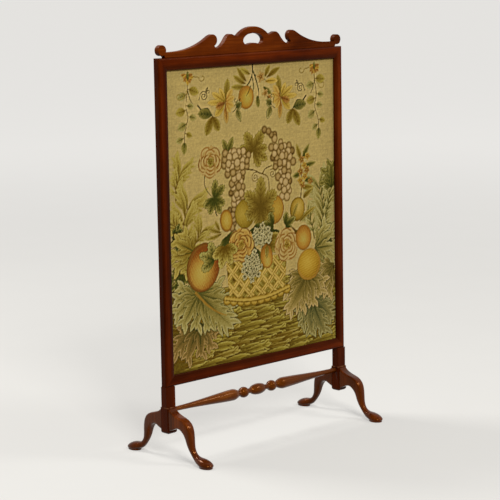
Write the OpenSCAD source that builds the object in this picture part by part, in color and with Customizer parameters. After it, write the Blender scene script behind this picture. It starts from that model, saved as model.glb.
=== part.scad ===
// Cheval fire screen: a mitred mahogany frame holds a needlework panel, under a sawn crest
// with a hand hole. Two posts, a turned stretcher and four cabriole legs carry it.
// X runs across the screen, the needlework faces -Y, Z is up and the floor is z = 0.

/* [Needlework panel] */
// Width of the needlework that shows inside the frame
sight_w = 603; // [500:1:800]
// Height of the needlework that shows inside the frame
sight_h = 772; // [500:1:950]
// Height of the lower edge of the needlework above the floor
sight_z = 217; // [192:1:300]
// Thickness of the stitched canvas
canvas_t = 1.0; // [0.6:0.1:1.4]

/* [Frame] */
// Width of the two stiles, seen from the front
stile_w = 28.4; // [24:0.2:40]
// Width of the top rail, seen from the front
top_rail_w = 31; // [26:0.2:44]
// Width of the bottom rail, seen from the front
bottom_rail_w = 28.4; // [24:0.2:40]
// Depth of the frame from front to back
frame_d = 21; // [20:0.5:32]
// How far the cushion moulding falls back from its crown to the sight edge
sight_fall = 3.5; // [1:0.1:5]
// Share of the width at which the cushion moulding reaches its crown
crown_share = 0.46; // [0.3:0.02:0.6]
// Rounding of the outer front arris of the moulding
edge_r = 5.5; // [2:0.1:7]
// Thickness of the lip that holds the panel in from the front
lip_t = 4.5; // [3:0.1:6]
// Width of the rebate behind the lip
rebate_w = 7; // [5:0.1:9]

/* [Panel build] */
// Width of the strainer bars
strainer_w = 30; // [20:1:50]
// Thickness of the strainer bars
strainer_t = 7; // [5:0.1:7.4]
// Free space round the strainer in the rebate
strainer_gap = 3; // [2.4:0.1:3.4]
// Thickness of the backing board
backing_t = 1.8; // [1:0.1:2.4]
// Width of the bead that keeps the backing board in
bead_w = 8; // [5:0.5:12]

/* [Crest] */
// Thickness of the crest board
crest_t = 14.5; // [10:0.5:18]
// Height of the arch over the top rail
arch_h = 66; // [56:0.5:80]
// Half the width of the arch at its springing
arch_half_w = 56; // [48:0.5:62]
// Height of the springing of the arch over the top rail
arch_foot_h = 43; // [38:0.5:46]
// Half the width of the hand hole
hole_half_w = 36; // [26:0.5:38]
// Height of the lower edge of the hand hole over the top rail
hole_low_h = 20; // [16:0.5:24]
// Height of the hand hole
hole_h = 29; // [22:0.5:30]
// Distance of the rounded shoulder from the middle
shoulder_x = 80; // [76:0.5:84]
// Height of the rounded shoulder over the top rail
shoulder_h = 50; // [46:0.5:54]
// Distance of the scroll's head from the middle
scroll_x = 143; // [139:0.5:150]
// Radius of the scroll's head
scroll_r = 15; // [12:0.5:16]
// Height of the scroll's head over the top rail
scroll_h = 51.5; // [46:0.5:56]
// Height of the low outer stretch of the crest over the top rail
wing_h = 14; // [10:0.5:18]
// Radius of the roundel at each end of the crest
roundel_r = 13.5; // [10:0.5:16]
// Height of the roundel's middle over the top rail
roundel_h = 18.8; // [16:0.2:24]
// Distance of the roundel's middle from the outer edge of the frame
roundel_inset = 15.4; // [12:0.2:24]

/* [Posts] */
// Width of a post between the frame and its foot block
post_w = 30; // [26:0.2:40]
// How far a post stands out beyond the side of the frame
post_proud = 1.4; // [0:0.1:3]
// Depth of a post
post_d = 22; // [20:0.5:27]
// Width of the foot block at the bottom of a post
block_w = 31.5; // [30.5:0.1:42]
// Depth of the foot block
block_d = 28; // [26:0.5:32]
// Height of the ledge at the top of the foot block
ledge_z = 136; // [130:1:144]
// Height of the rounded bottom of the foot block
pendant_z = 67; // [60:1:72]

/* [Legs] */
// Width of a leg where it meets the foot block
leg_w = 27.6; // [22:0.2:28]
// Width of a leg at the ankle
ankle_w = 16; // [12:0.2:20]
// Thickness of a leg at the ankle, from front to back
ankle_t = 15.6; // [11:0.2:18]
// Distance of the knee's outermost point from the middle of the screen
knee_y = 88.5; // [80:0.5:96]
// Height of the crown of the arch under a leg
arch_z = 87; // [82:0.5:92]
// Distance of the pad foot's middle from the middle of the screen
foot_y = 136.5; // [130:0.5:150]
// Length of the pad foot from heel to toe
foot_l = 42.5; // [36:0.5:48]
// Width of the pad foot
foot_w = 34.4; // [28:0.2:42]
// Height of the instep of the pad foot
instep_h = 23.5; // [20:0.5:27]
// Height of the flat disc under the pad foot
disc_h = 4.4; // [3:0.2:5.4]

/* [Stretcher] */
// Height of the stretcher's axis above the floor
stretcher_z = 126.3; // [122:0.1:128]
// Diameter of the bulb in the middle
bulb_d = 29.6; // [22:0.2:36]
// Length of the bulb in the middle
bulb_l = 60; // [50:1:66]
// Distance of each turned ball from the middle
ball_x = 51.5; // [49:0.5:56]
// Diameter of each turned ball
ball_d = 29; // [22:0.2:34]
// Length of each turned ball
ball_l = 31; // [26:0.5:34]
// Diameter of the necks beside the balls
neck_d = 13.6; // [10:0.2:16]
// Distance of the fullest part of each taper from the middle
vase_x = 97; // [90:1:110]
// Diameter of the fullest part of each taper
vase_d = 30.4; // [22:0.2:34]
// Diameter of the taper's end at the foot block
end_d = 11.6; // [11.2:0.2:14]

/* [Joints and fixings] */
// Diameter of the round tenons at the ends of the stretcher
tenon_d = 10; // [8:0.2:11]
// Length of the round tenons at the ends of the stretcher
tenon_l = 16; // [8:0.5:22]
// Diameter of the dowels in the crest, the posts and the legs
dowel_d = 8; // [6:0.5:8]
// Depth to which a dowel enters each piece that it joins
dowel_reach = 12; // [8:0.5:13]
// Thickness of the keys in the mitres
key_t = 3; // [2:0.1:4]
// Length of a mitre key across the joint
key_l = 22; // [16:0.5:24]
// Width of a mitre key along the joint
key_w = 10; // [6:0.5:12]
// Radial clearance round dowels and tenons
joint_clear = 0.1; // [0.05:0.01:0.2]
// Clearance between the panel and the lip of the frame
panel_clear = 0.2; // [0.1:0.05:0.3]
// Distance between the tacks of the canvas
tack_pitch = 64; // [50:1:120]
// Diameter of a tack's head
tack_head_d = 5; // [3:0.2:5.6]
// Distance between the pins of the beads
pin_pitch = 150; // [110:1:220]

/* [Hidden] */
$fn = 48;
mahogany = [0.36, 0.14, 0.07];
warm_mahogany = [0.50, 0.23, 0.09];
beech = [0.76, 0.60, 0.40];
pine = [0.78, 0.64, 0.44];
plywood = [0.62, 0.46, 0.30];
steel = [0.45, 0.46, 0.48];
wool = [0.62, 0.56, 0.38];

// Edges of the sight, the frame and the rebate
sight_x = sight_w / 2;
sight_top = sight_z + sight_h;
frame_x = sight_x + stile_w;
frame_top = sight_top + top_rail_w;
frame_low = sight_z - bottom_rail_w;
front_y = -frame_d / 2;
back_y = frame_d / 2;
sight_y = front_y + sight_fall;
lip_y = sight_y + lip_t;
rebate_x = sight_x + rebate_w;
rebate_low = sight_z - rebate_w;
rebate_top = sight_top + rebate_w;
past = 1;

// Layers of the panel, from the lip to the back
canvas_y = lip_y + panel_clear;
strainer_y = canvas_y + canvas_t;
backing_y = strainer_y + strainer_t;
bead_y = backing_y + backing_t;
bead_t = back_y - bead_y;
strainer_x = rebate_x - strainer_gap;
strainer_low = rebate_low + strainer_gap;
strainer_top_z = rebate_top - strainer_gap;
backing_gap = 1;
tack_head_t = 1;
tack_shank_d = 1.6;
tack_shank_l = 8;
tack_clear = 0.1;
pin_d = 1.4;
pin_bite = 5;
pin_l = bead_w + pin_bite;
pin_clear = 0.05;
pin_z_in_bead = bead_y + bead_t / 2;

// Posts, dowels and keys
post_x = frame_x - post_w / 2 + post_proud;
post_arris = post_w * 0.053;
block_r = block_w * 0.063;
pendant_r = block_w * 0.27;
ledge_arris = block_w * 0.032;
block_corner = norm([block_w, block_d]) / 2 - block_r * (sqrt(2) - 1);
outer_dowel_x = frame_x - stile_w * 0.36;
inner_dowel_x = frame_x - stile_w * 0.76;
outer_dowel_drop = dowel_reach * 1.6;
outer_dowel_rise = stile_w * 1.2;
inner_dowel_rise = (bottom_rail_w - rebate_w) * 0.86;
crest_dowel_x = scroll_x * 1.2;
leg_dowel_d = dowel_d * 0.75;
leg_dowel_in = dowel_reach * 0.8;
leg_dowel_out = dowel_reach * 1.1;
key_y = back_y - frame_d * 0.19;

// Points of an arc round c, from angle a0 to a1, in n steps
function arc(c, r, a0, a1, n = 12) =
    [for (i = [0:n]) c + r * [cos(a0 + (a1 - a0) * i / n), sin(a0 + (a1 - a0) * i / n)]];

// One point of a Catmull-Rom curve between b and c
function between(a, b, c, d, t) =
    0.5 * (2 * b + (c - a) * t + (2 * a - 5 * b + 4 * c - d) * t * t
        + (3 * b - a - 3 * c + d) * t * t * t);

// A smooth curve through the points p, with n steps from each to the next
function curve(p, n = 6) = concat(
    [for (i = [0:len(p) - 2]) for (j = [0:n - 1])
        between(p[max(i - 1, 0)], p[i], p[i + 1], p[min(i + 2, len(p) - 1)], j / n)],
    [p[len(p) - 1]]);

function mirrored(p) = [for (i = [len(p) - 1:-1:0]) [-p[i].x, p[i].y]];

module both_sides() {
    children();
    mirror([1, 0, 0]) children();
}

// A rectangle whose corners are true arcs
module rounded_rect(w, h, r) {
    square([w - 2 * r, h], center = true);
    square([w, h - 2 * r], center = true);
    for (x = [-1, 1], y = [-1, 1])
        translate([x * (w / 2 - r), y * (h / 2 - r)]) circle(r);
}

// Section of the moulding for a member of width w: x runs outward from the sight edge, and
// y is the depth. Its front is the same share of every width, so that the mitres meet.
function moulding(w) = concat(
    [[rebate_w, lip_y], [0, lip_y], [0, sight_y]],
    [for (a = [10:10:90]) [crown_share * w * (1 - cos(a)), sight_y - sight_fall * sin(a)]],
    [for (a = [0:10:90]) [w - edge_r * w / stile_w * (1 - sin(a)), front_y + edge_r * (1 - cos(a))]],
    [[w, back_y - post_arris], [w - post_arris, back_y], [rebate_w, back_y]]);

// The four sides of the frame in the order top, bottom, left, right: a member's sight edge,
// its outer edge, and the mitred outline that it is cut to
module mitred_outline(side) {
    inner = [[-sight_x, sight_top], [sight_x, sight_top], [sight_x, sight_z], [-sight_x, sight_z]];
    outer = [[-frame_x, frame_top], [frame_x, frame_top], [frame_x, frame_low], [-frame_x, frame_low]];
    ends = side == "top" ? [0, 1] : side == "bottom" ? [2, 3] : side == "left" ? [3, 0] : [1, 2];
    polygon([inner[ends[0]], inner[ends[1]], outer[ends[1]], outer[ends[0]]]);
}

// Stands a drawing made in x and z up in the frame's plane, between two depths
module upright(y0, y1) {
    translate([0, y1, 0]) rotate([90, 0, 0]) linear_extrude(y1 - y0) children();
}

module member(side) {
    long = 2 * (sight_w + sight_h);
    intersection() {
        if (side == "top")
            translate([-long / 2, 0, sight_top]) rotate([90, 0, 90]) linear_extrude(long)
                polygon([for (p = moulding(top_rail_w)) [p.y, p.x]]);
        else if (side == "bottom")
            translate([-long / 2, 0, sight_z]) rotate([90, 0, 90]) linear_extrude(long)
                polygon([for (p = moulding(bottom_rail_w)) [p.y, -p.x]]);
        else
            mirror([side == "left" ? 1 : 0, 0, 0]) translate([sight_x, 0, -long / 4])
                linear_extrude(long) polygon(moulding(stile_w));
        upright(front_y - past, back_y + past) mitred_outline(side);
    }
}

// Keys that cross the four mitres, each in the middle of its mitre
module key_blanks(clear) {
    for (top = [0, 1]) both_sides() {
        rail_w = top ? top_rail_w : bottom_rail_w;
        slope = atan2(rail_w, stile_w) * (top ? 1 : -1);
        z = top ? sight_top + rail_w / 2 : sight_z - rail_w / 2;
        translate([sight_x + stile_w / 2, key_y, z]) rotate([0, -slope, 0])
            cube([key_w + 2 * clear, key_t + 2 * clear, key_l + 2 * clear], center = true);
    }
}

// Vertical dowels between the posts and the frame, long outside and short inside
module post_dowel_blanks(clear) {
    both_sides() {
        translate([outer_dowel_x, 0, frame_low - outer_dowel_drop - clear])
            cylinder(d = dowel_d + 2 * clear, h = outer_dowel_drop + outer_dowel_rise + 2 * clear);
        translate([inner_dowel_x, 0, frame_low - dowel_reach - clear])
            cylinder(d = dowel_d + 2 * clear, h = dowel_reach + inner_dowel_rise + 2 * clear);
    }
}

// Vertical dowels between the crest and the top rail, in the middle and under each scroll
module crest_dowel_blanks(clear) {
    for (x = [-crest_dowel_x, 0, crest_dowel_x])
        translate([x, 0, frame_top - dowel_reach - clear])
            cylinder(d = dowel_d + 2 * clear, h = 2 * (dowel_reach + clear));
}

// Pins that run outward through each bead into the frame
function pin_count(length) = max(2, round(length / pin_pitch));
module pin_blanks(clear) {
    across = pin_count(sight_w);
    up = pin_count(sight_h);
    for (i = [0:across - 1]) {
        x = sight_w * ((i + 0.5) / across - 0.5);
        translate([x, pin_z_in_bead, rebate_top - bead_w])
            cylinder(d = pin_d + 2 * clear, h = pin_l + clear, $fn = 16);
        translate([x, pin_z_in_bead, rebate_low + bead_w - pin_l - clear])
            cylinder(d = pin_d + 2 * clear, h = pin_l + clear, $fn = 16);
    }
    for (i = [0:up - 1]) both_sides()
        translate([rebate_x - bead_w, pin_z_in_bead, sight_z + sight_h * (i + 0.5) / up])
            rotate([0, 90, 0]) cylinder(d = pin_d + 2 * clear, h = pin_l + clear, $fn = 16);
}

module top_rail() {
    color(mahogany) difference() {
        member("top");
        key_blanks(joint_clear);
        crest_dowel_blanks(joint_clear);
        pin_blanks(pin_clear);
    }
}

module bottom_rail() {
    color(mahogany) difference() {
        member("bottom");
        key_blanks(joint_clear);
        post_dowel_blanks(joint_clear);
        pin_blanks(pin_clear);
    }
}

module stile(side) {
    color(mahogany) difference() {
        member(side);
        key_blanks(joint_clear);
        post_dowel_blanks(joint_clear);
        pin_blanks(pin_clear);
    }
}

module left_stile() { stile("left"); }
module right_stile() { stile("right"); }

module mitre_keys() { color(beech) key_blanks(0); }

// Right half of the crest's upper edge, from the top of the arch to the end of the board
arch_r = (arch_half_w * arch_half_w + pow(arch_h - arch_foot_h, 2)) / (2 * (arch_h - arch_foot_h));
arch_span = asin(arch_half_w / arch_r);
roundel_x = frame_x - roundel_inset;
notch = [scroll_x - scroll_r * 0.87, scroll_h * 0.33];
shoulder = [shoulder_x, shoulder_h];
scroll_mid = [scroll_x, scroll_h - scroll_r];
wing_end = [roundel_x - roundel_r * 0.9, wing_h];

// Where the arcs of the scroll's head and of the roundel begin and end
scroll_from = 248;
scroll_to = 62;
roundel_from = 190;
roundel_to = -115;

// Points between the shoulder and the notch, and between the scroll's head and the low wing:
// the share of the way outward, then the share of the height that is left above the low end
shoulder_fall = [[0.22, 0.86], [0.44, 0.47], [0.66, 0.15], [0.94, -0.02], [1.02, -0.02]];
scroll_fall = [[0.22, 0.57], [0.40, 0.28], [0.60, 0.09], [0.80, 0.01]];
function falling(top, low, shares) =
    [for (s = shares) [top.x + (low.x - top.x) * s.x, low.y + (top.y - low.y) * s.y]];

crest_edge = concat(
    arc([0, arch_h - arch_r], arch_r, 90, 90 - arch_span, 10),
    curve(concat(
        [[arch_half_w, arch_foot_h], [(arch_half_w + shoulder_x) / 2, shoulder_h * 0.93], shoulder],
        falling(shoulder, notch, shoulder_fall),
        [notch + scroll_r * [0.36, 0.16]]), 4),
    arc(scroll_mid, scroll_r, scroll_from, scroll_to, 14),
    curve(concat(
        [[scroll_x + scroll_r * 0.8, scroll_h - scroll_r * 0.24]],
        falling([scroll_x, scroll_h], wing_end, scroll_fall),
        [wing_end]), 5),
    arc([roundel_x, roundel_h], roundel_r, roundel_from, roundel_to, 20),
    [[roundel_x - roundel_r * 0.74, 0]]);

// Right half of the hand hole, from the bottom up, with the small rise in its lower edge, as
// shares of its half width and its height
hole_edge = curve([for (s = [[0, 0.14], [0.3, 0.1], [0.58, 0.01], [0.84, 0.07],
    [1, 0.34], [0.91, 0.63], [0.56, 0.9], [0, 1]])
    [hole_half_w * s.x, hole_low_h + hole_h * s.y]], 5);

module crest() {
    color(warm_mahogany) difference() {
        translate([0, 0, frame_top]) upright(-crest_t / 2, crest_t / 2) difference() {
            polygon(concat(mirrored(crest_edge), crest_edge));
            polygon(concat(hole_edge, mirrored(hole_edge)));
        }
        crest_dowel_blanks(joint_clear);
    }
}

module crest_dowels() { color(beech) crest_dowel_blanks(0); }

// Horizontal dowels between the foot blocks and the legs, two to each leg
leg_dowel_low = pendant_z + pendant_r * 2.8;
leg_dowel_high = stretcher_z - tenon_d / 2 - dowel_d * 0.94;
module leg_dowel_blanks(clear) {
    for (front = [0, 1]) mirror([0, front, 0]) both_sides() for (z = [leg_dowel_low, leg_dowel_high])
        translate([post_x, block_d / 2 - leg_dowel_in - clear, z]) rotate([-90, 0, 0])
            cylinder(d = leg_dowel_d + 2 * clear, h = leg_dowel_in + leg_dowel_out + 2 * clear);
}

// A post: square above the ledge, and a deeper foot block with a rounded pendant below it
module post() {
    difference() {
        union() {
            translate([0, 0, ledge_z]) linear_extrude(frame_low - ledge_z)
                rounded_rect(post_w, post_d, post_arris);
            intersection() {
                translate([0, 0, pendant_z]) linear_extrude(ledge_z - pendant_z)
                    rounded_rect(block_w, block_d, block_r);
                rotate([90, 0, 90]) linear_extrude(block_w + past, center = true)
                    pendant_side(block_d);
                rotate([90, 0, 0]) linear_extrude(block_d + past, center = true)
                    pendant_side(block_w);
                pendant_turning();
            }
        }
        translate([-block_w / 2 - past, 0, stretcher_z]) rotate([0, 90, 0])
            cylinder(d = tenon_d + 2 * joint_clear, h = tenon_l + joint_clear + past);
    }
}

// Outline of the foot block from one side: a small arris on the ledge, round below
module pendant_side(w) {
    translate([0, pendant_z + pendant_r]) polygon([[-w / 2, 0], [w / 2, 0],
        [w / 2, ledge_z - pendant_z - pendant_r - ledge_arris],
        [w / 2 - ledge_arris, ledge_z - pendant_z - pendant_r],
        [ledge_arris - w / 2, ledge_z - pendant_z - pendant_r],
        [-w / 2, ledge_z - pendant_z - pendant_r - ledge_arris]]);
    translate([0, pendant_z + pendant_r / 2]) square([w - 2 * pendant_r, pendant_r], center = true);
    for (s = [-1, 1]) translate([s * (w / 2 - pendant_r), pendant_z + pendant_r]) circle(pendant_r);
}

// A round body as wide as the foot block's corners, whose rounded end eases them below
module pendant_turning() {
    translate([0, 0, pendant_z]) rotate_extrude() polygon(concat([[0, 0]],
        arc([block_corner - pendant_r, pendant_r], pendant_r, -90, 0),
        [[block_corner, ledge_z - pendant_z + past], [0, ledge_z - pendant_z + past]]));
}

module right_post() {
    color(mahogany) difference() {
        translate([post_x, 0, 0]) post();
        post_dowel_blanks(joint_clear);
        leg_dowel_blanks(joint_clear);
    }
}

module left_post() { mirror([1, 0, 0]) right_post(); }

module post_dowels() { color(beech) post_dowel_blanks(0); }

module leg_dowels() { color(beech) leg_dowel_blanks(0); }

// Stations along a cabriole leg. Each holds the outer point and the inner point of its side
// view, as distance from the screen's middle and height, then half its width, and how square
// it is: 2 is an ellipse, and higher values near a rectangle.
leg_root = block_d / 2;
leg_top = ledge_z - 2.5;
heel_y = foot_y - foot_l / 2;
toe_y = foot_y + foot_l / 2;
ankle_y = knee_y + 6.5;
ankle_z = instep_h + 4.2;
ankle_dir = [0.94, 0.34];
ankle_out = [ankle_y, ankle_z] + ankle_dir * ankle_t / 2;
ankle_in = [ankle_y, ankle_z] - ankle_dir * ankle_t / 2;
leg_stations = [
    [leg_root, leg_top, leg_root, arch_z - 11, leg_w / 2, 10],
    [leg_root + 12, leg_top - 9.5, leg_root + 12, arch_z - 6.5, leg_w / 2 - 0.2, 8.5],
    [leg_root + 30, leg_top - 16, leg_root + 25, arch_z - 0.4, leg_w / 2 - 0.6, 7],
    [knee_y - 24.5, leg_top - 21.5, knee_y - 37, arch_z - 1.6, leg_w / 2 - 1, 5.8],
    [knee_y - 8.5, leg_top - 32, knee_y - 27, arch_z - 10, leg_w / 2 - 1.6, 4.6],
    [knee_y, leg_top - 49, knee_y - 20.5, arch_z - 21.5, leg_w / 2 - 2.6, 3.6],
    [knee_y + 2.6, leg_top - 71, knee_y - 16, arch_z - 35.5, ankle_w / 2 + 2.4, 3],
    [knee_y + 5.6, ankle_z + 16, knee_y - 9.8, ankle_z + 10, ankle_w / 2 + 0.8, 2.5],
    [ankle_out.x, ankle_out.y, ankle_in.x, ankle_in.y, ankle_w / 2, 2.3],
    [foot_y - 23, instep_h + 1.5, heel_y - 18, 14.5, ankle_w / 2 + 1.7, 2.2],
    [foot_y - 9, instep_h, heel_y - 9.5, 8.8, foot_w / 2 - 3.4, 2.2],
    [foot_y + 5, instep_h - 3.5, heel_y - 3.4, 6.6, foot_w / 2 - 1, 2.2],
    [toe_y - 4.5, instep_h - 10, heel_y - 0.5, 6, foot_w / 2, 2.2],
    [toe_y, disc_h + 3.6, heel_y + 0.5, disc_h + 1.6, foot_w / 2 - 0.2, 2.2],
    [toe_y - 1.4, disc_h + 0.4, heel_y + 1.6, disc_h + 0.2, foot_w / 2 - 1.3, 2.2]];
disc_inset = 1.8;
disc_arris = 0.6;
disc_rings = [for (z = [disc_h, disc_arris, 0]) let (inset = disc_inset + (z == 0 ? disc_arris : 0))
    [toe_y - inset, z, heel_y + inset, z, foot_w / 2 - inset, 2.1]];
leg_rings = concat(curve(leg_stations, 2), disc_rings);
leg_sides = 24;

// One ring of the leg: a superellipse in the plane of its outer and inner points
function leg_ring(s) = [for (i = [0:leg_sides - 1])
    let (a = 360 * i / leg_sides, e = 2 / s[5],
        c = sign(cos(a)) * pow(abs(cos(a)), e), w = sign(sin(a)) * pow(abs(sin(a)), e))
    [w * s[4], (s[0] + s[2]) / 2 + c * (s[0] - s[2]) / 2, (s[1] + s[3]) / 2 + c * (s[1] - s[3]) / 2]];

leg_points = [for (s = leg_rings) each leg_ring(s)];
leg_faces = concat(
    [[for (i = [0:leg_sides - 1]) i]],
    [for (r = [0:len(leg_rings) - 2]) for (i = [0:leg_sides - 1])
        let (a = r * leg_sides + i, b = r * leg_sides + (i + 1) % leg_sides)
        each [[a, b + leg_sides, b], [a, a + leg_sides, b + leg_sides]]],
    [[for (i = [leg_sides - 1:-1:0]) (len(leg_rings) - 1) * leg_sides + i]]);

module leg(side, end) {
    color(warm_mahogany) difference() {
        mirror([side == "left" ? 1 : 0, 0, 0]) mirror([0, end == "front" ? 1 : 0, 0])
            translate([post_x, 0, 0]) polyhedron(leg_points, leg_faces);
        leg_dowel_blanks(joint_clear);
    }
}

module front_left_leg() { leg("left", "front"); }
module rear_left_leg() { leg("left", "rear"); }
module front_right_leg() { leg("right", "front"); }
module rear_right_leg() { leg("right", "rear"); }

// Right half of the stretcher's outline as distance from the middle and radius: the bulb, a
// ball between two necks, and a vase that tapers to the foot block. The vase's points are
// shares of the way and of the swelling.
neck_r = neck_d / 2;
stretcher_half = post_x - block_w / 2;
function bead_x(half_l, r) = half_l * sqrt(1 - pow(neck_r / r, 2));
bulb_end = bead_x(bulb_l / 2, bulb_d / 2);
ball_end = bead_x(ball_l / 2, ball_d / 2);
function bead(mid, half_l, r, from, to, n) =
    [for (i = [0:n]) let (x = from + (to - from) * i / n)
        [mid + x, r * sqrt(max(0, 1 - pow(x / half_l, 2)))]];
vase_foot = ball_x + ball_end + 3;
vase_l = vase_x - vase_foot;
vase_r = vase_d / 2;
taper_l = stretcher_half - vase_x;
end_r = end_d / 2;
half_turning = concat(
    bead(0, bulb_l / 2, bulb_d / 2, 0, bulb_end, 12),
    bead(ball_x, ball_l / 2, ball_d / 2, -ball_end, ball_end, 12),
    curve(concat(
        [for (s = [[0, 0], [0.25, 0.45], [0.6, 0.88], [1, 1]])
            [vase_foot + vase_l * s.x, neck_r + (vase_r - neck_r) * s.y]],
        [for (s = [[0.2, 0.8], [0.45, 0.46], [0.72, 0.16], [1, 0]])
            [vase_x + taper_l * s.x, end_r + (vase_r - end_r) * s.y]]), 5));

module stretcher() {
    color(warm_mahogany) translate([0, 0, stretcher_z]) rotate([0, 90, 0]) rotate_extrude() polygon(concat(
        [[0, -stretcher_half - tenon_l], [tenon_d / 2, -stretcher_half - tenon_l],
            [tenon_d / 2, -stretcher_half]],
        [for (i = [len(half_turning) - 1:-1:1]) [half_turning[i].y, -half_turning[i].x]],
        [for (p = half_turning) [p.y, p.x]],
        [[tenon_d / 2, stretcher_half], [tenon_d / 2, stretcher_half + tenon_l],
            [0, stretcher_half + tenon_l]]));
}

// Tacks along the edges of the strainer, pointing in from each edge
function tack_count(length) = floor((length - 2 * strainer_w) / tack_pitch) + 1;
module tack(clear, with_head) {
    rotate([0, 90, 0]) {
        translate([0, 0, -tack_shank_l - canvas_t - clear])
            cylinder(d = tack_shank_d + 2 * clear, h = tack_shank_l + canvas_t + 2 * clear, $fn = 16);
        if (with_head) cylinder(d = tack_head_d, h = tack_head_t, $fn = 16);
    }
}
module tack_rows(clear, with_head) {
    across = tack_count(2 * strainer_x);
    up = tack_count(strainer_top_z - strainer_low);
    mid_y = strainer_y + strainer_t / 2;
    mid_z = (strainer_top_z + strainer_low) / 2;
    for (i = [0:up - 1]) both_sides()
        translate([strainer_x + canvas_t, mid_y, mid_z + tack_pitch * (i - (up - 1) / 2)])
            tack(clear, with_head);
    for (i = [0:across - 1]) {
        x = tack_pitch * (i - (across - 1) / 2);
        translate([x, mid_y, strainer_top_z + canvas_t]) rotate([0, -90, 0]) tack(clear, with_head);
        translate([x, mid_y, strainer_low - canvas_t]) rotate([0, 90, 0]) tack(clear, with_head);
    }
}

module canvas_tacks() { color(steel) tack_rows(0, true); }

// The stitched canvas: a flat front whose edges turn back over the strainer
module needlework_canvas() {
    color(wool) difference() {
        translate([-strainer_x - canvas_t, canvas_y, strainer_low - canvas_t])
            cube([2 * (strainer_x + canvas_t), canvas_t + strainer_t,
                strainer_top_z - strainer_low + 2 * canvas_t]);
        translate([-strainer_x, strainer_y, strainer_low])
            cube([2 * strainer_x, strainer_t + past, strainer_top_z - strainer_low]);
        tack_rows(tack_clear, false);
    }
}

// Strainer bars, half lapped at the corners: the level bars keep the front half of each lap
module strainer_bar(side) {
    level = side == "top" || side == "bottom";
    height = strainer_top_z - strainer_low;
    bar_x = side == "right" ? strainer_x - strainer_w : -strainer_x;
    bar_z = side == "top" ? strainer_top_z - strainer_w : strainer_low;
    lap = strainer_w + past;
    color(pine) difference() {
        translate([bar_x, strainer_y, bar_z])
            cube([level ? 2 * strainer_x : strainer_w, strainer_t, level ? strainer_w : height]);
        for (x = [-strainer_x - past, strainer_x - strainer_w])
            for (z = [strainer_low - past, strainer_top_z - strainer_w])
                translate([x, level ? strainer_y + strainer_t / 2 : strainer_y - past, z])
                    cube([lap, level ? strainer_t : strainer_t / 2 + past, lap]);
        tack_rows(tack_clear, false);
    }
}

module strainer_top() { strainer_bar("top"); }
module strainer_bottom() { strainer_bar("bottom"); }
module strainer_left() { strainer_bar("left"); }
module strainer_right() { strainer_bar("right"); }

module backing_board() {
    color(plywood) translate([backing_gap - rebate_x, backing_y, rebate_low + backing_gap])
        cube([2 * (rebate_x - backing_gap), backing_t, rebate_top - rebate_low - 2 * backing_gap]);
}

// Beads round the back of the rebate, mitred, with their inner back arris planed off
module bead_strip(side) {
    inner = [[bead_w - rebate_x, rebate_top - bead_w], [rebate_x - bead_w, rebate_top - bead_w],
        [rebate_x - bead_w, rebate_low + bead_w], [bead_w - rebate_x, rebate_low + bead_w]];
    outer = [[-rebate_x, rebate_top], [rebate_x, rebate_top],
        [rebate_x, rebate_low], [-rebate_x, rebate_low]];
    ends = side == "top" ? [0, 1] : side == "bottom" ? [2, 3] : side == "left" ? [3, 0] : [1, 2];
    corner = inner[ends[0]];
    planed = bead_t * 0.35 * sqrt(2);
    color(mahogany) difference() {
        upright(bead_y, back_y)
            polygon([corner, inner[ends[1]], outer[ends[1]], outer[ends[0]]]);
        if (side == "top" || side == "bottom")
            translate([0, back_y, corner.y]) rotate([45, 0, 0])
                cube([2 * rebate_x, planed, planed], center = true);
        else
            translate([corner.x, back_y, (rebate_top + rebate_low) / 2]) rotate([0, 0, 45])
                cube([planed, planed, rebate_top - rebate_low], center = true);
        pin_blanks(pin_clear);
    }
}

module bead_top() { bead_strip("top"); }
module bead_bottom() { bead_strip("bottom"); }
module bead_left() { bead_strip("left"); }
module bead_right() { bead_strip("right"); }

module bead_pins() { color(steel) pin_blanks(0); }

top_rail();
bottom_rail();
left_stile();
right_stile();
mitre_keys();
crest();
crest_dowels();
left_post();
right_post();
post_dowels();
stretcher();
front_left_leg();
rear_left_leg();
front_right_leg();
rear_right_leg();
leg_dowels();
needlework_canvas();
strainer_top();
strainer_bottom();
strainer_left();
strainer_right();
canvas_tacks();
backing_board();
bead_top();
bead_bottom();
bead_left();
bead_right();
bead_pins();
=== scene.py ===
"""Looks of a cheval fire screen: polished mahogany round a panel of wool needlework."""
import math

import bmesh
import bpy
import numpy as np
from mathutils import Matrix, Vector


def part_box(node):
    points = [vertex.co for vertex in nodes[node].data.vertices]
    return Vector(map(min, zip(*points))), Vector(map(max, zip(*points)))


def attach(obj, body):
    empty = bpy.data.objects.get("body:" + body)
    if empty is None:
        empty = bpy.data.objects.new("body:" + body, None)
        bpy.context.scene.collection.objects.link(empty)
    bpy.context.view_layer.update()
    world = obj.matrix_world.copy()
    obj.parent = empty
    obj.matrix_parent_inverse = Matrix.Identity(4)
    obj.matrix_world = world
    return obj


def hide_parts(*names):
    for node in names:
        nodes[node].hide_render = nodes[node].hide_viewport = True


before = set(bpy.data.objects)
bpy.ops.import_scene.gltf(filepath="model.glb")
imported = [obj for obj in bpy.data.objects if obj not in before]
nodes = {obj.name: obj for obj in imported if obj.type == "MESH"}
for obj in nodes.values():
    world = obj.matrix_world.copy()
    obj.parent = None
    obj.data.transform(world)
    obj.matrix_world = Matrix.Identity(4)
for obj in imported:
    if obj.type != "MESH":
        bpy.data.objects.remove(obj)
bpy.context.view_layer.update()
BODY = "root"
MM = 0.001

# Camera: its place, the way it looks and its lens, for a picture 500 pixels wide
PICTURE = 500
FOCAL_PIXELS = 1844.7
SENSOR = 36.0
CAMERA_PLACE = (-3.3359, -3.4422, 1.2770)
CAMERA_YAW = math.radians(43.940)
CAMERA_PITCH = math.radians(9.195)
CAMERA_ROLL = math.radians(-0.979)

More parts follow.
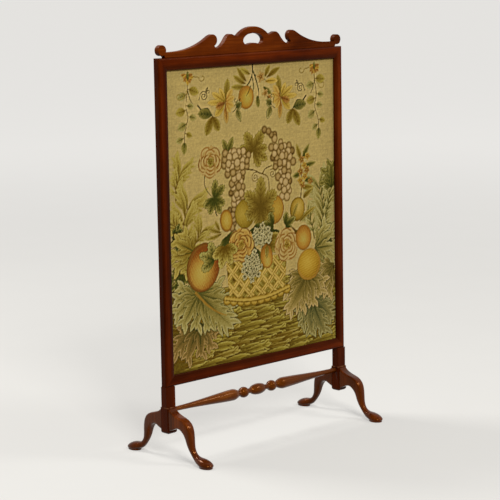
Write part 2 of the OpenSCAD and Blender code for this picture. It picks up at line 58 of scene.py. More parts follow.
# Lamps: name, place, size, power in watts and the place that they shine at
LAMPS = (("key", (-2.6, -5.2, 4.4), 1.6, 244, (0, 0, 0.55)),
         ("fill", (3.0, -3.9, 4.4), 1.6, 120, (0.1, 0, 0.5)),
         ("glint", (-2.3, -3.6, 3.9), 0.50, 46, (0, 0, 0.4)),
         ("top", (-0.8, 2.2, 3.6), 1.2, 90, (0, 0, 0.4)))
LAMP_COLOUR = (1.0, 1.0, 0.98)
# The light of the world, and the sky that the camera and mirrors see in its place
WORLD_LIGHT = 0.32
SKY = (232, 230, 225)

# Floor: its two paints, their colour in the light thrown back onto the screen, its glow
# to the eye near the screen and far away, and the distances in metres between which it grows
FLOOR = ((154, 152, 148), (158, 156, 152))
BOUNCE = (116, 88, 54)
FLOOR_LIFT = (0.43, 0.67)
LIFT_FROM, LIFT_TO = 1.0, 8.0

# Shades of the woods, from the darkest to the palest, as the eye sees them (0 to 255)
DARK = [(30, 5, 0), (52, 12, 0), (70, 21, 1), (96, 38, 6)]
# The next shades are the same mahogany as DARK, made lighter for the top rail: painted light where its
# upward face catches more light
DARK_WITH_PAINTED_LIGHT = [(35, 7, 0), (59, 15, 0), (79, 26, 1), (106, 45, 8)]
WARM = [(39, 10, 0), (65, 21, 0), (92, 37, 4), (120, 57, 12)]
TURNED = [(38, 12, 0), (62, 24, 2), (90, 42, 6), (126, 70, 20)]
LEG = [(34, 8, 0), (56, 17, 0), (82, 30, 2), (118, 54, 10)]
BEECH = [(150, 112, 70), (176, 138, 92), (196, 160, 114)]
PINE = [(160, 122, 74), (192, 154, 102), (208, 176, 126)]
PLYWOOD = [(104, 72, 42), (128, 92, 56), (150, 112, 72)]
# The axis of the object that the grain runs along
ALONG_X, ALONG_Z = 0, 2
# Colour that the shellac gives to what the polish reflects
SHELLAC = (1.0, 0.36, 0.07, 1.0)
# How much the broad figure, the fine grain and handling tell in the wood's tone, and its start
BROAD, FINE, HANDLED, TONE_START = 0.70, 0.42, 0.26, -0.16
# The tones of the darkest and the palest shade
RAMP_LOW, RAMP_HIGH = 0.28, 0.72
# Wax in the open pores: how much of it shows, and its colour as a share of the darkest shade
PORE_SHARE, PORE_DARK = 0.5, 0.45
# A frame's moulding is painted paler along its crown and darker at its edges, partly rubbed polish
# and dark wax and partly painted highlight and painted shade: where across it the crown lies, how
# far the paler and darker paint reaches from there, and how much paler than the wood the crown is
# and how much darker the edges are
CROWN_AT, CROWN_REACH, CROWN_PALE, EDGE_DARK = 0.36, 0.55, 1.45, 0.62
# The pale line round the top of a post's block, partly wear and partly a painted highlight on its
# arris: its height in metres and its colour
POST_RIM, WORN_AND_HIGHLIGHT = 0.1355, (150, 104, 70)

# Skins of the woodwork: points nearer than WELD become one, faces that meet under FLAT become
# one, edges over SHARP are arrises, and those of the frame are longer than ARRIS
WELD, FLAT, SHARP, ARRIS = 0.002 * MM, math.radians(0.4), math.radians(40), 0.3
# Legs: edges over LEG_SHARP stay sharp within LEG_ROOT of the post and LEG_SOLE of the floor
LEG_SHARP, LEG_ROOT, LEG_SOLE = math.radians(55), 12 * MM, 0.1 * MM

# The needlework in millimetres: the sight, the pixels of the drawing, the pitch of the
# stitches, how far the wool stands out, and how much more so each second stitch
WIDTH, HEIGHT, SIGHT_LOW = 603.0, 772.0, 217.0
PIXEL, STITCH, RELIEF, TENT = 1.1, 2.25, 0.45, 0.16
# A leaf's wool: its tone at the root, how much lighter it is at its sides, and the pitches in
# millimetres of the slanting strokes and of the lines along it
ROOT_TONE, SIDE_TONE, SLANT, LINES = 0.22, 0.24, 7.0, 5.0
# The thickness of the canvas where it is turned back
CLOTH = 1.0 * MM

# Wool shades, from the darkest to the lightest of each family, as the eye sees them (0 to 255)
TAN = (173, 151, 89)
OLIVE = [(92, 69, 6), (106, 82, 17), (121, 99, 28), (134, 114, 41), (152, 133, 54), (166, 148, 71)]
MOSS = [(56, 57, 9), (68, 69, 17), (88, 82, 25), (106, 96, 36), (128, 116, 48), (154, 141, 70)]
SEA = [(62, 63, 18), (88, 81, 29), (110, 99, 40), (132, 118, 55), (150, 137, 72), (166, 154, 93)]
STONE = [(72, 61, 14), (94, 81, 28), (114, 97, 39), (134, 115, 53), (156, 134, 71), (176, 152, 93)]
GOLD = [(98, 72, 9), (122, 95, 19), (144, 114, 33), (160, 130, 45), (173, 144, 60), (184, 156, 76)]
AMBER = [(112, 69, 16), (136, 94, 28), (154, 114, 36), (164, 129, 44), (172, 142, 54), (180, 155, 69)]
ROSE = [(105, 70, 15), (127, 91, 31), (144, 109, 46), (158, 125, 60), (169, 139, 75), (177, 150, 88)]
BLUSH = [(106, 62, 13), (134, 86, 26), (150, 104, 38), (162, 119, 48), (172, 134, 60), (178, 147, 72)]
GRAPE = [(88, 64, 22), (113, 87, 37), (135, 108, 54), (154, 127, 72), (168, 141, 87), (178, 152, 100)]
RUSSET = [(92, 57, 10), (110, 69, 18), (126, 84, 27), (142, 99, 36), (158, 120, 50), (170, 139, 66)]
PALE = [(70, 61, 30), (100, 88, 47), (126, 110, 63), (150, 136, 82), (166, 153, 99), (178, 167, 114)]
GRASS = [(86, 65, 10), (104, 84, 19), (121, 102, 30), (138, 120, 41), (152, 135, 53), (164, 148, 68)]
INK = [(50, 53, 10), (60, 59, 16), (76, 73, 25), (98, 90, 34), (120, 108, 46), (140, 129, 62)]
BARK = [(64, 58, 16), (84, 73, 25), (102, 84, 34), (120, 97, 43), (142, 116, 58), (166, 137, 79)]
FERN = [(66, 69, 33), (88, 86, 42), (108, 101, 51), (128, 116, 61), (146, 135, 75), (162, 151, 92)]
BROWN = [(92, 71, 12), (103, 81, 19), (116, 94, 28), (129, 108, 37), (142, 122, 47), (156, 139, 63)]
PEAR = [(104, 82, 12), (124, 100, 23), (140, 114, 32), (154, 129, 42), (166, 141, 54)]
LEMON = [(128, 92, 18), (150, 112, 26), (166, 129, 36), (177, 142, 46), (184, 152, 57)]
ORANGE = [(118, 78, 19), (146, 100, 30), (160, 112, 38), (168, 126, 46), (172, 141, 57), (172, 151, 69)]
TOP_ORANGE = [(122, 86, 21), (146, 102, 32), (158, 116, 38), (164, 129, 44), (166, 141, 54),
              (168, 149, 64)]
RUST = [(140, 96, 28), (158, 110, 40), (166, 120, 48), (170, 131, 55), (174, 141, 62), (178, 149, 72)]
MELON = [(122, 67, 17), (144, 92, 28), (160, 114, 42), (172, 137, 56), (176, 149, 64), (180, 157, 74)]


def linear(shown):
    """What shaders take for what the eye sees, both from 0 to 1."""
    return np.where(shown <= 0.04045, shown / 12.92, ((shown + 0.055) / 1.055) ** 2.4)


def seen(*colour):
    """A colour given as the eye sees it, 0 to 255, as the linear colour that shaders take."""
    return (*linear(np.array(colour) / 255), 1.0)


def add_object(name, data):
    """Puts a mesh, a lamp or a camera into the scene."""
    thing = bpy.data.objects.new(name, data)
    bpy.context.scene.collection.objects.link(thing)
    return thing


def add_camera():
    """A camera that sees the screen as the photo does."""
    data = bpy.data.cameras.new("camera")
    data.sensor_width = SENSOR
    data.lens = FOCAL_PIXELS / PICTURE * SENSOR
    data.clip_end = 200
    camera = add_object("camera", data)
    camera.matrix_world = (Matrix.Translation(CAMERA_PLACE) @ Matrix.Rotation(-CAMERA_YAW, 4, "Z")
                           @ Matrix.Rotation(math.pi / 2 - CAMERA_PITCH, 4, "X")
                           @ Matrix.Rotation(CAMERA_ROLL, 4, "Z"))
    bpy.context.scene.camera = camera


class Value:
    """A number that a node gives. Arithmetic on it adds math nodes."""

    def __init__(self, n, socket):
        self.n, self.socket = n, socket

    def __add__(self, other):
        return self.n.math("ADD", self, other)

    __radd__ = __add__

    def __sub__(self, other):
        return self.n.math("SUBTRACT", self, other)

    def __rsub__(self, other):
        return self.n.math("SUBTRACT", other, self)

    def __mul__(self, other):
        return self.n.math("MULTIPLY", self, other)

    def __truediv__(self, other):
        return self.n.math("DIVIDE", self, other)

    def __abs__(self):
        return self.n.math("ABSOLUTE", self)

    def clamped(self):
        """The same number, kept between 0 and 1."""
        self.socket.node.use_clamp = True
        return self


class Nodes:
    """Short calls for building the node tree of a material or a world."""

    def __init__(self, owner):
        owner.use_nodes = True
        self.tree = owner.node_tree
        self.tree.nodes.clear()

    def add(self, kind, inputs=None, **settings):
        node = self.tree.nodes.new("ShaderNode" + kind)
        for name, value in settings.items():
            setattr(node, name, value)
        self.fill(node, inputs or {})
        return node

    def fill(self, node, inputs):
        """Gives a node's inputs their values, or links them to what they follow."""
        for name, value in inputs.items():
            value = getattr(value, "socket", value)
            if isinstance(value, bpy.types.NodeSocket):
                self.tree.links.new(value, node.inputs[name])
            else:
                node.inputs[name].default_value = value

    def math(self, operation, a, b=0.0):
        return Value(self, self.add("Math", {0: a, 1: b}, operation=operation).outputs[0])

    def mix(self, share, a, b, blend="MIX"):
        return self.add("Mix", {0: share, 6: a, 7: b}, data_type="RGBA", blend_type=blend).outputs[2]

    def shaded(self, colour, share):
        """The colour times a number."""
        grey = self.add("CombineColor", {"Red": share, "Green": share, "Blue": share})
        return self.mix(1.0, colour, grey.outputs[0], "MULTIPLY")

    def noise(self, place, scale, detail=2.0, roughness=0.5, warp=0.0):
        node = self.add("TexNoise", {"Vector": place, "Scale": scale, "Detail": detail,
                                     "Roughness": roughness, "Distortion": warp})
        return Value(self, node.outputs["Fac"])

    def stretched(self, place, axis, finer):
        """The place, scaled so that what is drawn on it runs long along one axis."""
        size = [finer] * 3
        size[axis] = 1.0
        return self.add("Mapping", {"Vector": place, "Scale": size}).outputs[0]

    def axes(self, place):
        """The x, y and z of a place."""
        return [Value(self, socket) for socket in self.add("SeparateXYZ", {"Vector": place}).outputs]

    def between(self, value, low, high, to_low=0.0, to_high=1.0):
        """A smooth step from to_low, where the value is low, to to_high, where it is high."""
        node = self.add("MapRange", {"Value": value, "From Min": low, "From Max": high,
                                     "To Min": to_low, "To Max": to_high},
                        interpolation_type="SMOOTHSTEP")
        return Value(self, node.outputs[0])

    def ramp(self, value, shades):
        """The shade for a tone, between RAMP_LOW for the first and RAMP_HIGH for the last one."""
        node = self.add("ValToRGB", {"Fac": value})
        elements = node.color_ramp.elements
        while len(elements) < len(shades):
            elements.new(0.5)
        for i, (element, shade) in enumerate(zip(elements, shades)):
            element.position = RAMP_LOW + (RAMP_HIGH - RAMP_LOW) * i / (len(shades) - 1)
            element.color = seen(*shade)
        return node.outputs[0]

    def bump(self, height, strength, distance, **over):
        """A surface normal, over the one given as Normal."""
        inputs = {"Height": height, "Strength": strength, "Distance": distance, **over}
        return self.add("Bump", inputs).outputs[0]

    def to_eye(self, rays):
        """1 for the rays that show a thing straight, in a mirror or through glass, and 0 for others."""
        camera, mirror, glass = (rays[f"Is {kind} Ray"]
                                 for kind in ("Camera", "Glossy", "Transmission"))
        return self.math("MAXIMUM", self.math("MAXIMUM", camera, mirror), glass)


def new_material(name):
    """A material, the calls for its nodes, its shader and the place on the object."""
    material = bpy.data.materials.new(name)
    n = Nodes(material)
    shader = n.add("BsdfPrincipled")
    n.add("OutputMaterial", {"Surface": shader.outputs[0]})
    return material, n, shader, n.add("TexCoord").outputs["Object"]


def wood(name, shades, along, roughness, coat=0.0, figure=1.0, rim=None, gloss=0.08, crown=None,
         wavy=0.25):
    """Polished wood: long soft figure, fine grain lines, short open pores and a waxed surface.
    rim is a height in metres with a pale line, partly wear and partly a painted highlight. crown is
    the outer half width, middle height, half height and width of a frame's moulding, which is painted
    paler along its crown and darker along its edges: partly rubbed polish and dark wax, partly
    painted highlight and painted shade. wavy is how strongly the surface waves."""
    material, n, shader, place = new_material(name)
    broad = n.noise(n.stretched(place, along, 9.0), 1.6 * figure, 3.0, 0.55, 0.6)
    fine = n.noise(n.stretched(place, along, 40.0), 7.0, 5.0, 0.65, 0.15)
    pore = n.between(n.noise(n.stretched(place, along, 22.0), 62.0, 2.0, 0.6), 0.60, 0.70)
    handled = n.noise(place, 9.0, 3.0, 0.6)
    tone = broad * BROAD + fine * FINE + TONE_START + handled * HANDLED
    colour = n.ramp(tone.clamped(), shades)
    x, _, z = n.axes(place)
    if crown is not None:
        outer, middle, half, wide = crown
        # Paler along the crown and darker at the edges: partly rubbed polish and dark wax, partly
        # painted highlight and painted shade that make the moulding read rounded
        share = n.math("MINIMUM", outer - abs(x), half - abs(z - middle)) / wide
        rubbed_and_painted_light = n.between(abs(share - CROWN_AT), 0.0, CROWN_REACH, CROWN_PALE, EDGE_DARK)
        colour = n.shaded(colour, rubbed_and_painted_light)
    colour = n.mix(pore * PORE_SHARE, colour, seen(*[c * PORE_DARK for c in shades[0]]))
    if rim is not None:
        # A pale ragged line at the rim: partly wear, partly a painted highlight on the ledge's arris
        near = n.between(abs(z - rim), 0.4 * MM, 1.5 * MM, 1.0, 0.0)
        worn_and_highlight = near * n.between(n.noise(place, 90.0, 2.0), 0.36, 0.58)
        colour = n.mix(worn_and_highlight * 0.4, colour, seen(*WORN_AND_HIGHLIGHT))
    grain = n.bump(fine * 0.25 - pore, 0.35, 0.12 * MM)
    n.fill(shader, {
        "Base Color": colour,
        "Roughness": roughness - 0.05 + handled * 0.10 + pore * 0.15,
        "Normal": n.bump(n.noise(place, 28.0, 1.0), wavy, 1.2 * MM, Normal=grain),
        "Specular IOR Level": gloss, "Specular Tint": SHELLAC,
        "Coat Weight": coat, "Coat Roughness": 0.10})
    return material


def steel_finish():
    """Dull steel with a few brown spots."""
    material, n, shader, place = new_material("dull_steel")
    spots = n.between(n.noise(place, 700.0, 4.0, 0.6), 0.52, 0.66)
    n.fill(shader, {"Base Color": n.mix(spots, seen(128, 126, 122), seen(92, 62, 40)),
                    "Roughness": 0.34 + spots * 0.4, "Metallic": 0.9})
    return material


def floor_finish():
    """A plain pale floor, which stays pale far behind the screen, where no lamp reaches it."""
    material, n, shader, place = new_material("floor")
    pale = n.mix(n.noise(place, 3.0, 3.0), seen(*FLOOR[0]), seen(*FLOOR[1]))
    rays = n.add("LightPath").outputs
    far = n.add("VectorMath", {0: place}, operation="LENGTH").outputs["Value"]
    n.fill(shader, {
        "Base Color": n.mix(rays["Is Diffuse Ray"], pale, seen(*BOUNCE)),
        "Roughness": 0.8, "Specular IOR Level": 0.0, "Emission Color": (1.0, 0.985, 0.96, 1.0),
        "Emission Strength": n.to_eye(rays) * n.between(far, LIFT_FROM, LIFT_TO, *FLOOR_LIFT)})
    return material


def needlework_finish():
    """Wool tent stitches: the drawing's colours, a slanting twist on each stitch and soft fibres."""
    material, n, shader, place = new_material("wool_needlework")
    wool = n.add("Attribute", attribute_name="wool", attribute_type="GEOMETRY").outputs["Color"]
    x, _, z = n.axes(place)
    across, up, slant = (n.math("SINE", way * (2 * math.pi / (STITCH * MM))) for way in (x, z, x + z))
    weave = (across + up) * 0.25 + slant * 0.5
    fibres = n.noise(place, 1500.0, 3.0, 0.6)
    faded = n.noise(place, 5.0, 3.0, 0.55)
    shade = 0.97 + weave * 0.045 + (fibres - 0.5) * 0.16 + (faded - 0.5) * 0.14
    n.fill(shader, {
        "Base Color": n.shaded(wool, shade), "Roughness": 0.92, "Specular IOR Level": 0.05,
        "Sheen Weight": 0.03, "Sheen Roughness": 0.5,
        "Normal": n.bump(weave + fibres * 0.8, 0.5, 0.4 * MM)})
    return material


def turned(v, degrees):
    a = math.radians(degrees)
    return np.array([v[0] * math.cos(a) - v[1] * math.sin(a), v[0] * math.sin(a) + v[1] * math.cos(a)])


def heading(degrees):
    return turned((1.0, 0.0), degrees)


def on_rib(base, way, long, t, bow=0.0, shift=0.0):
    """The place at the share t of a leaf's length, on a rib that bows to the left, moved along it
    by the share shift."""
    return base + heading(way) * long * (t + shift) + heading(way + 90) * long * 2 * t * (1 - t) * bow


def blade(base, way, long, wide, bend=0.0, full=0.5):
    """A blade of a leaf: where it starts, its heading in degrees, its length and width, how far
    it bows to the left, and the share of its length at which it is widest."""
    base = np.array(base, float)
    return base, base + heading(way) * long, wide, bend, full


def sided(side, points):
    """The points, mirrored where side is -1."""
    return [(side * x, z) for x, z in points]


def curve(points, steps=6):
    """A smooth line through the points (Catmull-Rom)."""
    p = np.array(points, float)
    p = np.vstack([2 * p[0] - p[1], p, 2 * p[-1] - p[-2]])
    t = np.arange(steps)[:, None] / steps
    parts = [b + 0.5 * ((c - a) * t + (2 * a - 5 * b + 4 * c - d) * t ** 2
                        + (3 * b - a - 3 * c + d) * t ** 3)
             for a, b, c, d in zip(p, p[1:], p[2:], p[3:])]
    return np.vstack([*parts, p[-2]])


def along(line, x, z):
    """For each place, the share of the line's length at the nearest point of it, and the
    distance from it, which is above 0 on the left."""
    steps = np.diff(line, axis=0)
    lengths = np.maximum(np.linalg.norm(steps, axis=1), 1e-9)
    start = np.concatenate([[0], np.cumsum(lengths)])
    best = np.full(x.shape, 1e9)
    t = side = np.zeros(x.shape)
    for a, s, long, at in zip(line, steps, lengths, start):
        dx, dz = x - a[0], z - a[1]
        share = np.clip((dx * s[0] + dz * s[1]) / long ** 2, 0, 1)
        off = np.hypot(dx - share * s[0], dz - share * s[1])
        near = off < best
        best = np.where(near, off, best)
        t = np.where(near, (at + share * long) / start[-1], t)
        side = np.where(near, np.where(s[0] * dz - s[1] * dx > 0, off, -off), side)
    return t, side


class Needlework:
    """A drawing in wool. Places are in millimetres: x from the middle, z up from the bottom."""

    def __init__(self, width, height, pixel, seed):
        self.draw = np.random.default_rng(seed)
        self.pixel = pixel
        self.x = np.arange(-width / 2 + pixel / 2, width / 2, pixel)
        self.z = np.arange(pixel / 2, height, pixel)
        size = len(self.z), len(self.x)
        self.colour = np.zeros((*size, 3))
        self.lift = np.zeros(size)
        self.grain = self.draw.random(size)

    def pick(self, low=0.0, span=1.0):
        """A random number, up to span above low."""
        return low + span * self.draw.random()

    def window(self, points, margin):
        """The part of the drawing round the points, and the x and z of its pixels."""
        low, high = np.min(points, 0) - margin, np.max(points, 0) + margin
        i0, i1 = np.searchsorted(self.x, (low[0], high[0]))
        j0, j1 = np.searchsorted(self.z, (low[1], high[1]))
        x, z = np.meshgrid(self.x[i0:i1], self.z[j0:j1])
        return (slice(j0, j1), slice(i0, i1)), x, z

    def lay(self, part, cover, colour, lift=None):
        """Lays wool where cover is above 0, in one colour or in a field of colours."""
        cover = np.clip(cover, 0, 1)[..., None]
        self.colour[part] = self.colour[part] * (1 - cover) + np.asarray(colour) * cover
        if lift is not None:
            self.lift[part] = self.lift[part] * (1 - cover[..., 0]) + lift * cover[..., 0]

    def edge(self, inside):
        """1 inside a shape and 0 outside it, with one pixel between them."""
        return np.clip(inside / self.pixel + 0.5, 0, 1)

    def shades(self, ramp, s, part, mottle=0.10):
        """The wool for each s from 0, dark, to 1, light. Shades meet almost without blending."""
        ramp = np.array(ramp, float)
        s = np.clip(s + (self.grain[part] - 0.5) * mottle, 0, 0.999) * (len(ramp) - 1)
        low = s.astype(int)
        share = np.clip((s - low - 0.2) * 1.67, 0, 1)[..., None]
        return ramp[low] * (1 - share) + ramp[low + 1] * share

    def crisp(self, reach, gain):
        """Sets each stitch off against the mean of the wool around it."""
        width = 2 * round(reach / self.pixel) + 1
        margins = (width // 2 + 1, width // 2), (0, 0), (0, 0)
        soft = self.colour
        for _ in range(2):
            total = np.cumsum(np.pad(soft, margins, mode="edge"), 0)
            soft = ((total[width:] - total[:-width]) / width).swapaxes(0, 1)
        self.colour = np.clip(self.colour + gain * (self.colour - soft), 0, 255)


def thread(w, line, wide, colour, end=None, cover=1.0):
    """A line of wool that tapers from wide to end."""
    part, x, z = w.window(line, wide + 2)
    t, side = along(line, x, z)
    half = (wide + ((end or wide) - wide) * t) / 2
    w.lay(part, w.edge(half - np.abs(side)) * cover, colour, 0.6)


def stem(w, points, *looks):
    """A thread that runs smoothly through the points."""
    thread(w, curve(points), *looks)


def spiral(w, middle, radius, turns, start, wide, colour, out=None, sign=1):
    """A tendril that winds in to a middle."""
    count = int(14 * turns)
    a = np.radians(start) + sign * np.linspace(0, 2 * np.pi * turns, count)
    r = radius * np.linspace(1, 0.12, count)
    points = np.stack([middle[0] + r * np.cos(a), middle[1] + r * np.sin(a)], -1)
    if out is not None:
        points = np.vstack([[out], points])
    thread(w, points, wide, colour)


def grow(w, blades, ramp, rim=2.2, vein=1.4, tone=0.0, edge=0.6, hatch=0.16, lines=0.0, heart=None,
         deep=0.45, veined=99, point=0.7):
    """Lays one leaf whose blades run together: dark at its root and its veins, pale and ragged
    at its rim. heart is a place and a radius within which it is darker, deep is how much
    lighter it grows from root to tip, veined is how many of its blades show a vein, and point
    makes the tips blunt below 1."""
    part, x, z = w.window([p for b in blades for p in b[:2]], max(b[2] for b in blades) / 2 + 4)
    depth, off = np.full(x.shape, -9.0), np.full(x.shape, 99.0)
    across = slant = beside = np.zeros(x.shape)
    root, reach = blades[0][0], max(np.linalg.norm(b[1] - blades[0][0]) for b in blades)
    share = np.linspace(0, 1, 9)[:, None]
    for i, (base, tip, wide, bend, full) in enumerate(blades):
        middle = (base + tip) / 2 + turned(tip - base, 90) * bend
        line = (1 - share) ** 2 * base + 2 * share * (1 - share) * middle + share ** 2 * tip
        t, side = along(line, x, z)
        half = wide / 2 * np.sin(np.pi * t ** (math.log(0.5) / math.log(full))) ** point
        inside = half - np.abs(side)
        best = inside > depth
        depth = np.where(best, inside, depth)
        across = np.where(best, np.abs(side) / np.maximum(half, 1), across)
        beside = np.where(best, side, beside)
        slant = np.where(best, t * np.linalg.norm(tip - base) - 0.9 * np.abs(side), slant)
        if i < veined:
            off = np.minimum(off, np.abs(side) + 99 * (t > 0.84) + 1.2 * t * vein)
    run = np.clip(np.hypot(x - root[0], z - root[1]) / reach, 0, 1)
    stripes = np.abs(np.mod(slant / SLANT, 1) - 0.5) * 2 - 0.4
    s = ROOT_TONE + deep * run + SIDE_TONE * across + hatch * stripes + tone
    s = s - lines * (np.mod(beside / LINES, 1) < 0.35)
    if heart is not None:
        far = np.hypot(x - heart[0][0], z - heart[0][1]) / heart[1]
        s = s - 0.45 * np.exp(-far ** 2) + 0.08
    w.lay(part, w.edge(depth + 1.6) * edge, ramp[0], 0.15)
    w.lay(part, w.edge(depth), w.shades(ramp, s, part), 0.75)
    if rim:
        ragged = np.clip(1.5 - depth / rim, 0, 1) * np.clip(0.5 + 0.6 * w.grain[part], 0, 1)
        w.lay(part, w.edge(depth) * ragged * np.clip(run * 2.2 - 0.5, 0, 1) * 0.9, ramp[-1])
    w.lay(part, np.clip(1 + (vein / 2 - off) / 1.4, 0, 1) * (depth > 0.6) * 0.8, ramp[0])


def leaf(w, base, way, long, wide, ramp, bend=0.0, full=0.45, teeth=0, **looks):
    """A single leaf, with pairs of teeth along its sides."""
    blades = [blade(base, way, long, wide, bend, full)]
    for i in range(teeth):
        t = 0.25 + 0.45 * i / max(teeth - 1, 1)
        root = on_rib(blades[0][0], way, long, t, bend)
        for sign in (1, -1):
            blades.append(blade(root, way + 42 * sign, wide * (0.66 - 0.3 * t), wide * 0.34))
    grow(w, blades, ramp, **looks)


def vine_leaf(w, base, way, size, ramp, spread, wide=0.42, **looks):
    """A leaf of pointed, toothed lobes that spread from its base, dark at its heart."""
    blades = []
    for angle in spread:
        long = size * (1 - 0.0028 * abs(angle)) * w.pick(0.94, 0.12)
        lobe = way + angle
        blades.append(blade(base, lobe, long, size * wide))
        for t, lean, reach in ((0.34, 44, 0.36), (0.54, 36, 0.32), (0.72, 30, 0.24)):
            root = on_rib(np.array(base), lobe, long, t)
            for sign in (1, -1):
                blades.append(blade(root, lobe + lean * sign, size * reach, size * 0.13, full=0.45))
    grow(w, blades, ramp, heart=(base, size * 0.42), **looks)


def palm(w, base, ramp, rib, tone, *lobes, deep=0.45, wide=0.26, tooth=23.0):
    """A large leaf: lobes with pointed fingers, each given as a heading and a length, that
    spread from one base and lie over each other in their order."""
    for way, long in lobes:
        bow = 0.16 * w.pick(-0.5)
        body = blade(base, way, long, long * wide + 4, bow, 0.55)
        blades = [body]
        pairs = max(2, int(long * 0.62 / tooth))
        for i in range(pairs):
            t = 0.24 + 0.50 * i / (pairs - 1)
            reach = long * (0.14 + 0.16 * math.sin(math.pi * min(t + 0.10, 0.8))) + 12
            for sign in (1, -1):
                root = on_rib(body[0], way, long, t, bow, 0.04 * sign)
                blades.append(blade(root, way + (42 - 16 * t) * sign, reach * w.pick(0.85, 0.35),
                                    tooth * 0.62, 0.12 * sign))
        grow(w, blades, ramp, veined=1, vein=1.2, rim=2.6, point=0.9, edge=0.8, tone=tone, deep=deep)
        stem(w, [body[0], on_rib(body[0], way, long, 0.62)], long * 0.04 + 1.5, rib, 1.2, 0.8)


def frond(w, points, wide, lobes, ramp, lean, slim=0.25):
    """A feathery leaf: long thin lobes that curl outward on both sides of a rib."""
    line = curve(points, 8)
    steps = np.linalg.norm(np.diff(line, axis=0), axis=1)
    at = np.concatenate([[0], np.cumsum(steps)]) / steps.sum()
    for i in range(lobes):
        t = 1 - (i + 0.2) / lobes
        k = min(max(np.searchsorted(at, t), 1), len(line) - 2)
        ahead = math.degrees(math.atan2(*(line[k + 1] - line[k - 1])[::-1]))
        size = wide * (0.55 + 0.45 * math.sin(math.pi * min(1.25 - t, 1) ** 0.8))
        for sign in (1, -1):
            way = ahead + sign * (lean + 10 * w.pick(-0.5))
            long = size * w.pick(0.82, 0.36)
            blades = [blade(line[k], way, long, long * slim, -0.16 * sign, 0.6)]
            for share, turn in ((0.30, 30), (0.44, -14), (0.56, 32), (0.70, -16)):
                blades.append(blade(on_rib(line[k], way, long, share), way + turn * sign, long * 0.42,
                                    long * slim * 0.55, -0.14 * sign))
            grow(w, blades, ramp, rim=2.0, edge=0.10, vein=2.4, veined=1, deep=0.75, tone=-0.01)
    stem(w, points, wide * 0.10, ramp[1], 1.6, 0.8)


def ball(w, middle, wide, high, ramp, turn=0, light=(-0.2, 0.25), fall=0.72, rim=2.0, hatch=0.14,
         edge=0.8, way=90):
    """A round fruit: a light middle, short strokes of wool that follow a heading, a dark rim."""
    part, x, z = w.window([middle], max(wide, high) / 2 + 3)
    u, v = turned((x - middle[0], z - middle[1]), -turn)
    u, v = u / (wide / 2), v / (high / 2)
    inside = (1 - np.hypot(u, v)) * min(wide, high) / 2
    glow = np.hypot(u - light[0], v - light[1])
    strokes = heading(way + 90)
    lines = np.sin((x * strokes[0] + z * strokes[1] + 2.2 * np.sin(z / 5 + x / 9)) * 1.5)
    s = 1.02 - fall * glow ** 1.3 + hatch * lines
    w.lay(part, w.edge(inside + 1.5) * edge, ramp[0], 0.2)
    w.lay(part, w.edge(inside), w.shades(ramp, s, part), 0.9)
    w.lay(part, w.edge(inside) * w.edge(rim - inside) * 0.75, ramp[1])


def ring(w, middle, radius, thick, colour):
    """A soft line of wool just inside a round shape."""
    part, x, z = w.window([middle], radius + 2)
    inside = (1 - np.hypot((x - middle[0]) / radius, (z - middle[1]) / radius)) * radius
    w.lay(part, np.clip(1 - np.abs(inside - thick / 2) / thick * 1.4, 0, 1) * 0.7, colour)


def bunch(w, top, wide, high, berry, lean=0.0, blunt=0.62, dim=0.0):
    """A bunch of grapes that narrows downwards, light in its middle and dark at its sides."""
    rows = max(1, int(high / (berry * 0.80)))
    places = []
    for r in range(rows):
        share = r / max(rows - 1, 1)
        swell = 0.66 + 0.34 * math.sin(math.pi * min(share * 1.5 + 0.25, 1))
        half = wide / 2 * swell * (1 - blunt * share ** 1.8)
        count = max(1, int(round(2 * half / berry)))
        for c in range(count):
            off = (c - (count - 1) / 2) * berry + (berry / 4 if r % 2 else -berry / 4)
            x, z = top[0] + off + lean * share * high, top[1] - r * berry * 0.80
            places.append((x, z, abs(off) / max(half, 1)))
    places.sort(key=lambda p: -p[2] - w.pick(span=0.7))
    for x, z, off in places:
        middle = np.array([x, z]) + (w.draw.random(2) - 0.5) * berry * 0.40
        size = berry * w.pick(0.96, 0.30)
        dark = dim + 0.34 * (off > 0.72) + 0.30 * (w.pick() < 0.22)
        part, gx, gz = w.window([middle], size)
        out = np.hypot((gx - middle[0]) * 1.05, gz - middle[1]) / (size / 2)
        inside = (1 - out) * size / 2
        s = 1.0 - 0.55 * out ** 3 - dark + 0.12 * (gz - middle[1]) / size
        w.lay(part, np.clip((inside + 4) / 4, 0, 1) * 0.8, GRAPE[0], 0.2)
        w.lay(part, w.edge(inside), w.shades(GRAPE, s, part, 0.16), 1.0)


def rose(w, middle, size, ramp, line, heart, turn):
    """An open rose: folded petals, edged with bold broken lines, round a small heart."""
    middle = np.array(middle, float)
    petals = [blade(middle, turn + 60 * i, size * w.pick(0.50, 0.06), size * 0.46, full=0.7)
              for i in range(6)]
    grow(w, petals, [line[0]] + ramp[1:], rim=2.5, vein=0, edge=0.5, deep=0.35, tone=0.2, hatch=0.1)
    for fold, (far, count) in enumerate(((0.43, 5), (0.33, 4), (0.23, 3), (0.14, 3))):
        for q in range(count):
            start = turn + 360 * (q + 0.4 * fold) / count
            off = middle + heading(start) * size * 0.03
            arc = [(heading(start + 360 / count * 0.86 * k / 4), size * far * swell)
                   for k, swell in enumerate((1.0, 1.1, 1.14, 1.08, 0.92))]
            stem(w, [off + way * (reach - 4.5) for way, reach in arc], 4.0, ramp[5], 2.4, 0.8)
            stem(w, [off + way * reach for way, reach in arc], 4.2, line[(fold + q) % 2], 1.8, 0.85)
    for i in range(9):
        at = middle + heading(40 * i) * size * 0.02
        leaf(w, at, 40 * i + w.pick(span=20), size * w.pick(0.10, 0.08), 4.5, heart, 0.1, 0.5,
             rim=0, edge=0.3, vein=0, tone=0.1)


